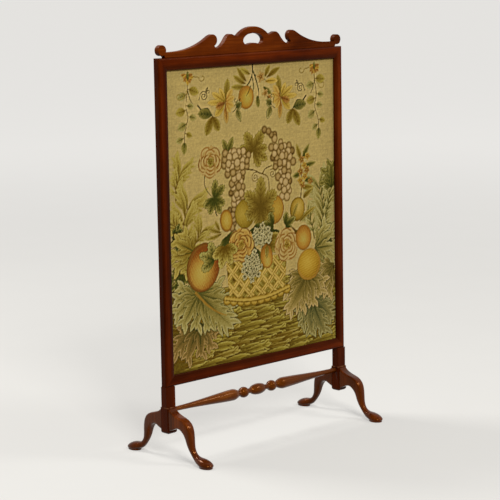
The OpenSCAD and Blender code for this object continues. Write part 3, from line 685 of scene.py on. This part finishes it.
def blossoms(w, middle, wide, high, pitch=16.0):
    """A head of small four-petalled flowers, with dark wool showing between them."""
    dark = MOSS[:3]
    ball(w, middle, wide * 0.84, high * 0.84, dark, hatch=0.3, edge=0, rim=0, fall=0.5)
    rows = int(high / pitch / 0.86) + 1
    for r in range(rows):
        for c in range(int(wide / pitch) + 1):
            u = (c + 0.5 * (r % 2)) / (wide / pitch) * 2 - 1
            v = r / max(rows - 1, 1) * 2 - 1
            if u * u + v * v >= 1.05:
                continue
            at = np.array(middle) + (u * wide / 2, v * high / 2) + (w.draw.random(2) - 0.5) * 5
            turn, tone = w.pick(span=90), w.pick(0.55, -0.35)
            for q in range(4):
                leaf(w, at, turn + 90 * q, pitch * 0.58, pitch * 0.50, PALE, full=0.62, rim=0, vein=0,
                     edge=0.4, tone=tone, hatch=0)
            ball(w, at, 3.6, 3.6, dark, hatch=0, edge=0, rim=0)


def star_flower(w, middle, size, ramp, heart, turn, petals=5):
    """A flower of narrow petals, seen from the front."""
    for i in range(petals):
        reach = size / 2 * w.pick(0.85, 0.3)
        leaf(w, middle, turn + 360 * i / petals, reach, size * 0.30, ramp, 0.1, 0.6, rim=1.2, edge=0.35,
             vein=1.2)
    ball(w, middle, size * 0.2, size * 0.2, heart, hatch=0, edge=0.5, rim=0)


def ground(w):
    """Tan ground with the uneven threads of a woven canvas, darker towards its edges."""
    rows, columns = w.lift.shape
    lines = 1 + 0.030 * (w.draw.random((rows, 1)) - 0.5) + 0.020 * (w.draw.random((1, columns)) - 0.5)
    for slub in ((1, 7), (6, 1), (2, 2)):
        coarse = w.draw.random((rows // slub[0] + 1, columns // slub[1] + 1)) - 0.5
        lines = lines + 0.05 * np.kron(coarse, np.ones(slub))[:rows, :columns]
    x, z = np.meshgrid(w.x, w.z)
    rim = np.minimum(np.minimum(w.x[-1] - np.abs(x), HEIGHT - z), 60) / 60
    w.colour[:] = np.array(TAN) * lines[..., None] * (0.94 + 0.06 * rim)[..., None]
    w.lift[:] = 0.15


def field(w):
    """The ground that the basket stands on: long tongues of green wool with pale, scalloped ends."""
    part, x, z = w.window([(w.x[0], 0), (w.x[-1], 260)], 0)
    edge = 186 + 14 * np.sin(x / 60.0) + 30 * (np.abs(x - 10) / 300) ** 2 + 6 * np.sin(x / 23.0 + 1)
    w.lay(part, w.edge(edge - z), w.shades(GRASS[:3], 0.30 + 0 * x, part, 0.5), 0.3)
    for row in range(15):
        x0 = w.pick(-340, 80)
        while x0 < 300:
            long, wide = w.pick(70, 70), w.pick(15, 10)
            slope = 8 * w.pick(-0.4)
            start = (x0, 190 - row * 13.5 + 6 * w.pick(-0.5))
            ramp = (GRASS, OLIVE, GRASS)[w.draw.integers(3)]
            blades = [blade(start, slope, long, wide, 0.05 * w.pick(-0.5), 0.66)]
            end = on_rib(np.array(start), slope, long, 0.74)
            for angle in (-30, -6, 22)[:2 + w.draw.integers(2)]:
                blades.append(blade(end, slope + angle, long * 0.12 + 14, wide * 0.62, full=0.68))
            grow(w, blades, ramp, rim=2.6, vein=0, tone=-0.28, edge=0.9, hatch=0.04, lines=0.08,
                 deep=0.78)
            x0 += long * w.pick(0.6, 0.3)


def basket(w, middle=4.0, foot=166.0, high=96.0, half=110.0, pitch=30.0, strap=13.0):
    """A basket of crossed double straps over a scalloped foot."""
    def sag(x):
        return 14 * (1 - ((x - middle) / half) ** 2)
    part, x, z = w.window([(middle - half - 14, foot - 24), (middle + half + 14, foot + high + 8)], 0)
    wide = half * (0.92 + 0.10 * np.clip((z - foot) / high, 0, 1))
    inside = np.minimum(np.minimum(wide - np.abs(x - middle), z - foot + sag(x) - 2), foot + high - z)
    s = 0.55 + 0.45 * np.sin(x / 7) * np.sin(z / 6)
    w.lay(part, w.edge(inside), w.shades(OLIVE, s, part, 0.5), 0.1)
    for sign in (1, -1):
        u, v = (x + sign * z) * 0.7071, (x - sign * z) * 0.7071
        off = np.abs(np.mod(u, pitch) - pitch / 2)
        over = np.mod(np.floor(u / pitch + 0.5) + np.floor(v / pitch + 0.5), 2) > 0.5
        crossing = np.abs(np.mod(v, pitch) - pitch / 2) < strap / 2 + 1.2
        shown = (sign > 0) | ~crossing | over
        s = 0.98 - 0.6 * (off < 1.1) - 0.2 * (off > strap * 0.36)
        w.lay(part, w.edge(strap / 2 + 1.0 - off) * w.edge(inside) * shown, GOLD[1], 0.3)
        w.lay(part, w.edge(strap / 2 - off) * w.edge(inside) * shown, w.shades(GOLD, s, part), 0.9)
    for i in range(10):
        x0 = middle + (i - 4.5) / 4.5 * half
        ball(w, (x0, foot - sag(x0) - 2), 27, 24, GOLD, light=(0, 0.3), fall=0.5, hatch=0.08)
    places = [middle + s * half for s in (-1.05, -0.5, 0, 0.5, 1.05)]
    for rise, thick, shade in ((2, 12, 0), (2.5, 10, 4), (-2, 1.8, 1), (6, 1.6, 2)):
        stem(w, [(px, foot - sag(px) + rise) for px in places], thick, GOLD[shade])


def hanging_vine(w, s):
    """A climbing stem that hangs from the top corner on the side s, with round grey-green leaves."""
    x = 228 * s
    path = sided(s, ((228, 752), (230, 716), (236, 680), (230, 648), (242, 612), (244, 588)))
    stem(w, path, 2.6, OLIVE[0], 1.6)
    stem(w, sided(s, ((228, 716), (222, 696), (214, 684))), 3.0, MOSS[1], 1.8)
    line = curve(path)
    for i, (k, sign, size) in enumerate(((5, 1, 34), (7, -1, 30), (12, 1, 22), (14, -1, 32),
                                         (17, 1, 24), (20, -1, 30), (24, 1, 22), (27, -1, 24))):
        way = -90 + sign * (70 + 26 * w.pick(-0.3))
        stem(w, [line[k], line[k] + heading(way) * 7], 1.8, OLIVE[0])
        leaf(w, line[k] + heading(way) * 5, way, size, size * 0.7, SEA if i % 3 else OLIVE, full=0.5,
             rim=1.0, tone=0.06, edge=0.15, vein=1.0)
    leaf(w, line[-1], -94, 30, 18, MOSS, tone=0.15, edge=0.2, rim=1.0)
    for q in range(9):
        leaf(w, (x, 754), 170 + 25 * q, w.pick(15, 10), 11, (RUSSET, AMBER, RUSSET)[q % 3],
             full=0.5, rim=0, edge=0.1, vein=0)
    leaf(w, (x, 744), 88, 22, 7, MOSS, full=0.5, rim=0)
    spiral(w, (x - 50 * s, 748), 13, 0.8, 90 - 90 * s, 2.0, OLIVE[2], out=(x - 18 * s, 752), sign=-s)
    spiral(w, (x + 30 * s, 706), 15, 0.9, 90 + 90 * s, 2.0, OLIVE[3], out=(x + 4 * s, 718), sign=s)


def leaf_spray(w, s):
    """A dark twig with three leaves and a curl, beside the hanging vine on the side s."""
    root = np.array([146.0 * s, 646.0])
    line = (62, 51, 11)
    stem(w, sided(s, ((196, 678), (182, 666), (162, 668), (146, 646))), 4.6, MOSS[0], 3.0)
    spiral(w, (174 * s, 700), 14, 1.8, 90 - 90 * s, 2.4, line, out=(192 * s, 692), sign=s)
    spiral(w, (160 * s, 712), 9, 1.2, 90, 2.2, line, out=(170 * s, 702), sign=-s)
    leaf(w, root + (2 * s, 4), 90 - 82 * s, 48, 27, INK, bend=0.08 * s, full=0.5, teeth=3, rim=1.2,
         edge=0.3)
    for way, long, bend in ((-90 + 26 * s, 52, 0.05), (-90 - 30 * s, 44, -0.06)):
        leaf(w, root, way, long, 24, OLIVE, bend=bend * s, full=0.55, teeth=3, tone=-0.2, edge=0.3)


def yellow_spray(w, s):
    """A spray of pale yellow, orange and brown leaves that spread like a star, on the side s."""
    heart = np.array([100.0 * s, 680.0])
    for angle, reach, wide, ramp, tone in (
            (100, 58, 20, OLIVE, -0.2), (62, 40, 15, GOLD, 0.1), (30, 52, 17, GOLD, 0.1),
            (2, 60, 15, GOLD, 0.1), (-44, 48, 20, GOLD, 0.0), (-20, 34, 18, RUSSET, -0.1),
            (-94, 54, 17, RUSSET, 0.1), (-124, 30, 15, RUST, 0.1), (128, 40, 17, RUST, 0.1),
            (160, 32, 15, RUST, 0.1), (-158, 30, 15, RUST, 0.1)):
        way = angle if s > 0 else 180 - angle
        leaf(w, heart + heading(way) * 2, way, reach, wide, ramp, full=0.62, teeth=2, rim=1.0,
             edge=0.25, vein=1.0, veined=1, tone=tone, deep=0.6)
    stem(w, sided(s, ((126, 672), (100, 680), (95, 690))), 3.4, RUSSET[1], 2)


def top_spray(w):
    """A twig with an orange, olive leaves and small flowers, which hangs from the middle of the top."""
    for points, wide in (
            ([(0, 772), (-2, 748), (-12, 728), (-24, 716)], 5.0),
            ([(2, 752), (12, 728), (20, 700), (18, 668)], 4.4),
            ([(-2, 740), (2, 712), (-4, 690)], 3.0), ([(6, 744), (28, 734), (46, 728)], 2.6)):
        stem(w, points, wide, MOSS[0], wide * 0.6)
    for base, way, long, ramp, tone in (
            ((-24, 728), 130, 50, OLIVE, -0.2), ((-26, 722), 152, 50, OLIVE, -0.1),
            ((-28, 716), 178, 50, OLIVE, 0.0), ((-10, 746), 152, 40, OLIVE, 0.1),
            ((44, 736), 60, 36, OLIVE, -0.1), ((50, 734), 26, 56, OLIVE, -0.2),
            ((44, 724), 0, 46, GOLD, 0.2), ((36, 712), -40, 40, MOSS, 0.0),
            ((14, 690), -84, 32, MOSS, 0.0)):
        leaf(w, base, way, long, 15, ramp, 0.05, 0.55, rim=1.2, edge=0.1, tone=tone)
    ball(w, (-26, 688), 54, 58, TOP_ORANGE, light=(0.15, -0.05), fall=0.85, turn=-8, rim=3)
    stem(w, [(-10, 716), (-16, 702), (-26, 690)], 2.6, MOSS[1], 1.6)
    for place, size in (((28, 738), 30), ((44, 694), 22), ((58, 682), 18)):
        star_flower(w, place, size, ROSE, RUSSET, place[0])
    for s, x in ((-1, -62), (1, 66)):
        stem(w, [(x - 14 * s, 684), (x - 4 * s, 672), (x + 2 * s, 660), (x + 14 * s, 652)], 3.4,
             MOSS[0], 2)
        leaf(w, (x, 664), 90 + 60 * s, 22, 20, SEA, tone=-0.35)
        leaf(w, (x - 2 * s, 658), -90 - 24 * s, 34, 17, SEA, tone=-0.1)
        spiral(w, (x + 2 * s, 684), 8, 0.9, 0, 1.8, SEA[1], out=(x + 6 * s, 668), sign=s)


def side_fronds(w):
    """Feathery leaves that climb the two sides."""
    frond(w, [(-276, 440), (-276, 470), (-262, 506)], 62, 5, OLIVE, 30)
    frond(w, [(-234, 268), (-246, 330), (-252, 380), (-238, 420)], 84, 7, OLIVE, 40)
    frond(w, [(-228, 300), (-212, 330), (-196, 352)], 56, 4, OLIVE, 36)
    frond(w, [(-246, 330), (-270, 362), (-284, 380)], 44, 4, OLIVE, 36)
    frond(w, [(238, 262), (254, 330), (256, 380), (244, 424)], 84, 8, SEA, 38)
    frond(w, [(258, 330), (276, 370), (284, 410)], 48, 5, SEA, 34)
    frond(w, [(222, 290), (212, 330), (200, 352)], 50, 4, SEA, 36)
    palm(w, (292, 422), MOSS, MOSS[0], -0.1, (60, 40), (150, 40), (116, 58), (92, 70))


def low_leaves(w):
    """Large leaves in the lower corners."""
    palm(w, (-292, 352), MOSS, MOSS[0], -0.4, (-4, 44), (-50, 34), (40, 30))
    palm(w, (-262, 262), MOSS, MOSS[0], -0.4, (240, 56), (205, 44), (275, 50))
    palm(w, (-216, 306), OLIVE, MOSS[1], -0.1, (126, 70), (234, 66), (210, 84), (182, 82), (154, 84),
         deep=0.75)
    palm(w, (-207, 120), BARK, SEA[0], -0.3, (192, 70), (330, 76), (216, 118), (302, 92), (243, 108),
         (272, 92), deep=0.85)
    palm(w, (-206, 196), SEA, SEA[1], -0.08, (8, 84), (158, 78), (186, 88), (262, 94), (210, 102),
         (234, 104), (288, 110), (340, 146), (318, 164), deep=0.7)
    stem(w, [(-216, 200), (-186, 170), (-150, 144), (-112, 126)], 8, AMBER[2], 3, 0.7)
    palm(w, (208, 122), FERN, SEA[0], -0.28, (212, 60), (346, 90), (242, 84), (322, 112), (270, 100),
         (298, 118), deep=0.75)
    palm(w, (296, 262), MOSS, MOSS[0], -0.4, (200, 40), (160, 44), (180, 52))
    palm(w, (224, 262), SEA, SEA[1], -0.04, (54, 80), (-54, 76), (26, 88), (-26, 92), (0, 84), deep=0.7)
    palm(w, (296, 210), STONE, STONE[1], -0.26, (184, 60), (258, 96), (210, 74), (236, 88), deep=0.85)
    palm(w, (194, 202), STONE, STONE[1], -0.30, (186, 62), (332, 82), (306, 92), (282, 104), (206, 108),
         (256, 112), (232, 138), deep=0.95)


def heap(w):
    """Fruit and flowers over the basket."""
    stem(w, [(170, 400), (176, 450), (172, 490), (184, 530)], 3.2, RUSSET[0], 1.8)
    for base, way, long, ramp in (
            ((184, 486), 12, 48, MOSS), ((186, 452), -10, 40, MOSS), ((176, 432), -4, 44, OLIVE),
            ((180, 508), 56, 46, MOSS), ((174, 510), 112, 44, OLIVE), ((180, 404), 30, 44, OLIVE),
            ((168, 470), 190, 26, MOSS)):
        leaf(w, base, way, long, 14, ramp, bend=0.06, edge=0.2, tone=-0.12)
    for i, place in enumerate(((178, 440), (188, 462), (172, 476), (186, 492), (176, 508), (198, 516),
                               (208, 446), (170, 452), (196, 478))):
        star_flower(w, place, 21, (RUSSET, AMBER)[i % 2], AMBER, place[0])
    stem(w, [(-176, 500), (-178, 476), (-168, 456), (-152, 440)], 2.6, MOSS[1], 2.2)
    vine_leaf(w, (-146, 436), 70, 50, MOSS, (-30, 12), tone=-0.05)
    vine_leaf(w, (-146, 436), -90, 48, MOSS, (-62, -24, 30, 64), 0.40, tone=-0.05)
    stem(w, [(-146, 424), (-142, 404), (-136, 390)], 5, MOSS[0], 3)
    rose(w, (-157, 531), 80, ROSE, RUSSET[2:4], OLIVE, 24)
    leaf(w, (-92, 552), 64, 40, 16, MOSS, bend=0.05)
    leaf(w, (-96, 552), 118, 36, 16, MOSS, bend=-0.05)
    vine_leaf(w, (-2, 548), 88, 66, BROWN, (-34, 34, 84), 0.46)
    vine_leaf(w, (-2, 548), -30, 56, BROWN, (-34, 0, 34), 0.40)
    bunch(w, (-80, 400), 34, 84, 15, dim=0.35)
    bunch(w, (-66, 548), 98, 158, 16.5, lean=0.02, blunt=0.4)
    bunch(w, (52, 596), 34, 60, 15.5, lean=0.75, blunt=0.1, dim=0.2)
    bunch(w, (102, 548), 84, 156, 16.5, lean=0.08, blunt=0.35)
    stem(w, [(-24, 500), (-2, 496), (26, 484), (40, 496), (62, 502)], 4.0, BROWN[0], 3)
    stem(w, [(26, 484), (50, 470), (54, 420)], 3.2, BROWN[1], 2)
    spiral(w, (2, 476), 14, 1.7, 60, 2.2, OLIVE[1])
    spiral(w, (66, 480), 13, 1.7, 120, 2.2, OLIVE[1], sign=-1)
    ball(w, (-38, 384), 68, 74, PEAR, light=(-0.25, 0.1), turn=14)
    ball(w, (72, 384), 66, 74, AMBER[:5], light=(0.25, 0.1), turn=-12)
    ball(w, (-104, 374), 42, 56, AMBER, light=(0.05, 0.0), turn=8, fall=0.6, rim=3, hatch=0.10)
    ball(w, (158, 376), 54, 62, GOLD, light=(0.1, 0.2), turn=-14, way=60, hatch=0.10)
    vine_leaf(w, (20, 398), 88, 82, BROWN, (-160, -118, -60, 170, 116, 56, 0), 0.40)
    for base, way, long in (((-124, 346), 160, 52), ((-122, 342), 190, 56), ((166, 342), 28, 70),
                            ((136, 346), 62, 52), ((-128, 352), 120, 30)):
        leaf(w, base, way, long, 10, OLIVE, 0.08, 0.5, rim=1.2, edge=0.3)
    for base, way, size, ramp, lean, wide, tone in (
            ((112, 338), 24, 40, MOSS, 60, 0.42, -0.1), ((66, 344), 170, 42, MOSS, 60, 0.42, -0.1),
            ((-8, 344), 300, 56, MOSS, 50, 0.5, -0.15), ((70, 330), 250, 60, MOSS, 50, 0.5, -0.15),
            ((40, 300), 330, 56, OLIVE, 50, 0.5, -0.15), ((150, 320), 240, 50, OLIVE, 50, 0.5, -0.15),
            ((-104, 332), 300, 54, MOSS, 50, 0.5, -0.15), ((4, 286), 230, 50, MOSS, 50, 0.5, -0.15)):
        vine_leaf(w, base, way, size, ramp, (-lean, 0, lean), wide, tone=tone)
    blossoms(w, (28, 320), 72, 56)
    rose(w, (116, 284), 86, ROSE, RUSSET[2:4], GOLD, 70)
    rose(w, (-52, 304), 90, BLUSH, RUSSET[1:3], GOLD, 40)
    ball(w, (180, 296), 58, 66, ORANGE, light=(0.0, -0.1), fall=0.85, rim=3)
    ball(w, (40, 262), 42, 62, ORANGE, light=(0.0, -0.4), turn=10, fall=0.7, rim=2.5, hatch=0.10)
    leaf(w, (42, 292), -94, 34, 13, OLIVE, tone=-0.1)
    blossoms(w, (-14, 242), 66, 72)
    ball(w, (200, 220), 88, 84, LEMON, light=(-0.15, 0.15), fall=0.75, way=0)
    ring(w, (200, 222), 44, 6, RUSSET[4])


def melon(w):
    """A cut melon at the left of the basket, with a leaf across it."""
    ball(w, (-188, 262), 112, 126, RUSSET[:4], light=(0.3, -0.3), turn=-24, rim=3.0, fall=0.3)
    ball(w, (-184, 262), 100, 116, MELON, light=(-0.1, -0.3), turn=-24, edge=0.3, rim=0, fall=1.0,
         hatch=0.16)
    vine_leaf(w, (-150, 276), 150, 58, MOSS, (-100, -44, 8, 56), 0.44, tone=0.08, deep=0.8)
    vine_leaf(w, (-112, 306), -84, 60, OLIVE, (-66, -22, 22, 66), 0.46, tone=-0.05, deep=0.8)


def picture():
    """The whole drawing: a basket of fruit and flowers among large leaves."""
    w = Needlework(WIDTH, HEIGHT, PIXEL, seed=7)
    ground(w)
    for side in (-1, 1):
        hanging_vine(w, side)
        yellow_spray(w, side)
        leaf_spray(w, side)
    for draw in (top_spray, side_fronds, field, low_leaves, basket, heap, melon):
        draw(w)
    w.crisp(6.0, 0.75)
    return w


def skin_of(node):
    """A CAD node's shape as one skin."""
    skin = bmesh.new()
    skin.from_mesh(nodes[node].data)
    bmesh.ops.remove_doubles(skin, verts=skin.verts, dist=WELD)
    return skin


def add_piece(name, shape, node, material):
    """Adds a mesh or a skin as a piece of its own that stands for a CAD node."""
    mesh = shape
    if isinstance(shape, bmesh.types.BMesh):
        mesh = bpy.data.meshes.new(name)
        shape.to_mesh(mesh)
        shape.free()
    mesh.materials.append(material)
    mesh.polygons.foreach_set("use_smooth", [True] * len(mesh.polygons))
    piece = add_object(name, mesh)
    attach(piece, BODY)
    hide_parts(node)
    return piece


def make_woodwork(woods):
    """Frame, beads, crest, posts and stretcher. The long arrises of the frame and its beads, and
    the sawn edges of the crest, are softened by a width in millimetres."""
    low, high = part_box("crest")
    near = 0.1 * MM

    def chosen(edge, node):
        if len(edge.link_faces) != 2 or edge.calc_face_angle(0) <= SHARP:
            return False
        ys = [v.co.y for v in edge.verts]
        if node == "crest":
            return max(ys) < low.y + near or min(ys) > high.y - near
        return edge.calc_length() > ARRIS

    for node, finish, slot, wide in (
            ("top_rail", "top", "mahogany", 0.8), ("bottom_rail", "across", "mahogany", 0.8),
            ("left_stile", "upright", "mahogany", 0.8), ("right_stile", "upright", "mahogany", 0.8),
            ("bead_top", "across", "mahogany", 0.5), ("bead_bottom", "across", "mahogany", 0.5),
            ("bead_left", "upright", "mahogany", 0.5), ("bead_right", "upright", "mahogany", 0.5),
            ("crest", "crest", "warm_mahogany", 1.0),
            ("left_post", "post", "mahogany", 0), ("right_post", "post", "mahogany", 0),
            ("stretcher", "turned", "warm_mahogany", 0)):
        skin = skin_of(node)
        bmesh.ops.dissolve_limit(skin, angle_limit=FLAT, verts=skin.verts, edges=skin.edges)
        if wide:
            bmesh.ops.bevel(skin, geom=[e for e in skin.edges if chosen(e, node)], offset=wide * MM,
                            offset_type="OFFSET", segments=2, profile=0.5, affect="EDGES")
        bmesh.ops.triangulate(skin, faces=[f for f in skin.faces if len(f.verts) > 4])
        piece = add_piece(node + "_wood", skin, node, woods[finish])
        piece.data.set_sharp_from_angle(angle=math.radians(50 if node == "stretcher" else 35))
        weighted = piece.modifiers.new("flat faces stay flat", "WEIGHTED_NORMAL")
        weighted.keep_sharp = True
        weighted.weight = 90


def make_legs(material):
    """Cabriole legs: the CAD skin, rounded by subdivision except at the flat root and sole."""
    for node in ("front_left_leg", "rear_left_leg", "front_right_leg", "rear_right_leg"):
        low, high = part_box(node)
        root = high.y if high.y < 0 else low.y
        skin = skin_of(node)
        bmesh.ops.join_triangles(skin, faces=skin.faces, angle_face_threshold=SHARP,
                                 angle_shape_threshold=math.radians(60))
        crease = skin.edges.layers.float.new("crease_edge")
        for edge in skin.edges:
            at_root = all(abs(v.co.y - root) < LEG_ROOT for v in edge.verts)
            at_sole = all(v.co.z < LEG_SOLE for v in edge.verts)
            if edge.calc_face_angle(0) > LEG_SHARP and (at_root or at_sole):
                edge[crease] = 1.0
        piece = add_piece(node + "_wood", skin, node, material)
        rounded = piece.modifiers.new("rounded", "SUBSURF")
        rounded.levels = rounded.render_levels = 2


def make_needlework():
    """The stitched canvas: a sheet whose stitches stand out a little, with its edges turned back."""
    low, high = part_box("needlework_canvas")
    drawing = picture()
    columns, rows = (round(size / MM / STITCH) for size in (high.x - low.x, high.z - low.z))
    xs, zs = np.linspace(low.x, high.x, columns + 1), np.linspace(low.z, high.z, rows + 1)
    sight = SIGHT_LOW * MM

    def nearest(places, pixels):
        found = ((places / MM - pixels[0]) / drawing.pixel).round().astype(int)
        return np.clip(found, 0, len(pixels) - 1)

    here = np.ix_(nearest(zs - sight, drawing.z), nearest(xs, drawing.x))
    stitch = TENT * (np.add.outer(np.arange(rows + 1), np.arange(columns + 1)) % 2 - 0.5)
    in_sight = np.outer((zs > sight) & (zs < sight + HEIGHT * MM), np.abs(xs) < WIDTH / 2 * MM)
    grid_x, grid_z = np.meshgrid(xs, zs)
    proud = (drawing.lift[here] + stitch) * RELIEF * MM * in_sight
    front = np.stack([grid_x, low.y - proud, grid_z], -1).reshape(-1, 3)
    order = np.arange(len(front)).reshape(rows + 1, columns + 1)
    below, above = order[:-1], order[1:]
    faces = np.stack([below[:, :-1], below[:, 1:], above[:, 1:], above[:, :-1]], -1).reshape(-1, 4)

    # From the rim, the edges run back to the rear plane, inwards and forwards again
    rim = np.concatenate([order[0], order[1:, -1], order[-1, -2::-1], order[-2:0:-1, 0]])
    outer = front[rim] * (1, 0, 1)
    inner = np.clip(outer, (low.x + CLOTH, 0, low.z + CLOTH), (high.x - CLOTH, 0, high.z - CLOTH))
    points = np.vstack([front, outer + (0, high.y, 0), inner + (0, high.y, 0),
                        inner + (0, low.y + CLOTH, 0)])
    loops = np.stack([rim] + [len(front) + len(rim) * i + np.arange(len(rim)) for i in range(3)], 1)
    ahead = np.roll(loops, -1, 0)
    edges = np.stack([ahead[:, :-1], loops[:, :-1], loops[:, 1:], ahead[:, 1:]], -1).reshape(-1, 4)
    mesh = bpy.data.meshes.new("needlework")
    mesh.from_pydata(points.tolist(), [], faces.tolist() + edges.tolist() + [loops[::-1, 3].tolist()])

    colours = np.ones((len(points), 4), np.float32)
    colours[:, :3] = seen(*TAN)[:3]
    colours[:len(front), :3] = linear(drawing.colour[here].reshape(-1, 3) / 255)
    mesh.attributes.new("wool", "FLOAT_COLOR", "POINT").data.foreach_set("color", colours.ravel())
    piece = add_piece("needlework", mesh, "needlework_canvas", needlework_finish())


def add_stage():
    """A pale floor, soft lamps and a pale world."""
    bpy.context.scene.view_settings.view_transform = "Standard"
    bpy.ops.mesh.primitive_circle_add(vertices=96, radius=60, fill_type="NGON")
    floor = bpy.context.object
    floor.name = "floor"
    floor.data.materials.append(floor_finish())
    for name, place, size, power, aim in LAMPS:
        lamp = bpy.data.lights.new(name, "AREA")
        lamp.size = size
        lamp.energy = power
        lamp.color = LAMP_COLOUR
        turn = (Vector(aim) - Vector(place)).to_track_quat("-Z", "Y").to_matrix().to_4x4()
        add_object(name, lamp).matrix_world = Matrix.Translation(place) @ turn
    world = bpy.data.worlds.new("studio")
    bpy.context.scene.world = world
    n = Nodes(world)
    light = n.add("Background", {"Color": (*LAMP_COLOUR, 1.0), "Strength": WORLD_LIGHT})
    sky = n.add("Background", {"Color": seen(*SKY), "Strength": 1.0})
    to_eye = n.to_eye(n.add("LightPath").outputs)
    mixed = n.add("MixShader", {0: to_eye, 1: light.outputs[0], 2: sky.outputs[0]})
    n.add("OutputWorld", {"Surface": mixed.outputs[0]})


def dress_hidden():
    """Finishes for the CAD nodes that stay: dowels, keys, strainer, tacks, pins and backing."""
    for material, names in (
            (wood("beech_dowel", BEECH, ALONG_Z, 0.5),
             ("mitre_keys", "crest_dowels", "post_dowels", "leg_dowels")),
            (wood("pine_across", PINE, ALONG_X, 0.55, figure=2), ("strainer_top", "strainer_bottom")),
            (wood("pine_upright", PINE, ALONG_Z, 0.55, figure=2), ("strainer_left", "strainer_right")),
            (wood("backing_plywood", PLYWOOD, ALONG_Z, 0.6, figure=1.5), ("backing_board",)),
            (steel_finish(), ("canvas_tacks", "bead_pins"))):
        for name in names:
            for slot in nodes[name].material_slots:
                slot.material = material


add_camera()
stile, top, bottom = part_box("left_stile"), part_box("top_rail")[1].z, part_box("bottom_rail")[0].z
moulding = (-stile[0].x, (top + bottom) / 2, (top - bottom) / 2, stile[1].x - stile[0].x)
add_stage()
make_woodwork({
    # The top rail is the same mahogany as the other rails, painted lighter: painted light for its
    # upward face
    "top": wood("mahogany_top_painted_light", DARK_WITH_PAINTED_LIGHT, ALONG_X, 0.26, gloss=0.07, crown=moulding),
    "across": wood("mahogany_across", DARK, ALONG_X, 0.26, gloss=0.07, crown=moulding),
    "upright": wood("mahogany_upright", DARK, ALONG_Z, 0.26, gloss=0.07, crown=moulding),
    "crest": wood("mahogany_crest", WARM, ALONG_X, 0.34, gloss=0.05),
    "post": wood("mahogany_post", DARK, ALONG_Z, 0.30, rim=POST_RIM),
    "turned": wood("mahogany_turned", TURNED, ALONG_X, 0.16, gloss=0.30, wavy=0.08)})
make_legs(wood("mahogany_leg", LEG, ALONG_Z, 0.15, coat=0.02, gloss=0.32, wavy=0.08))
make_needlework()
dress_hidden()
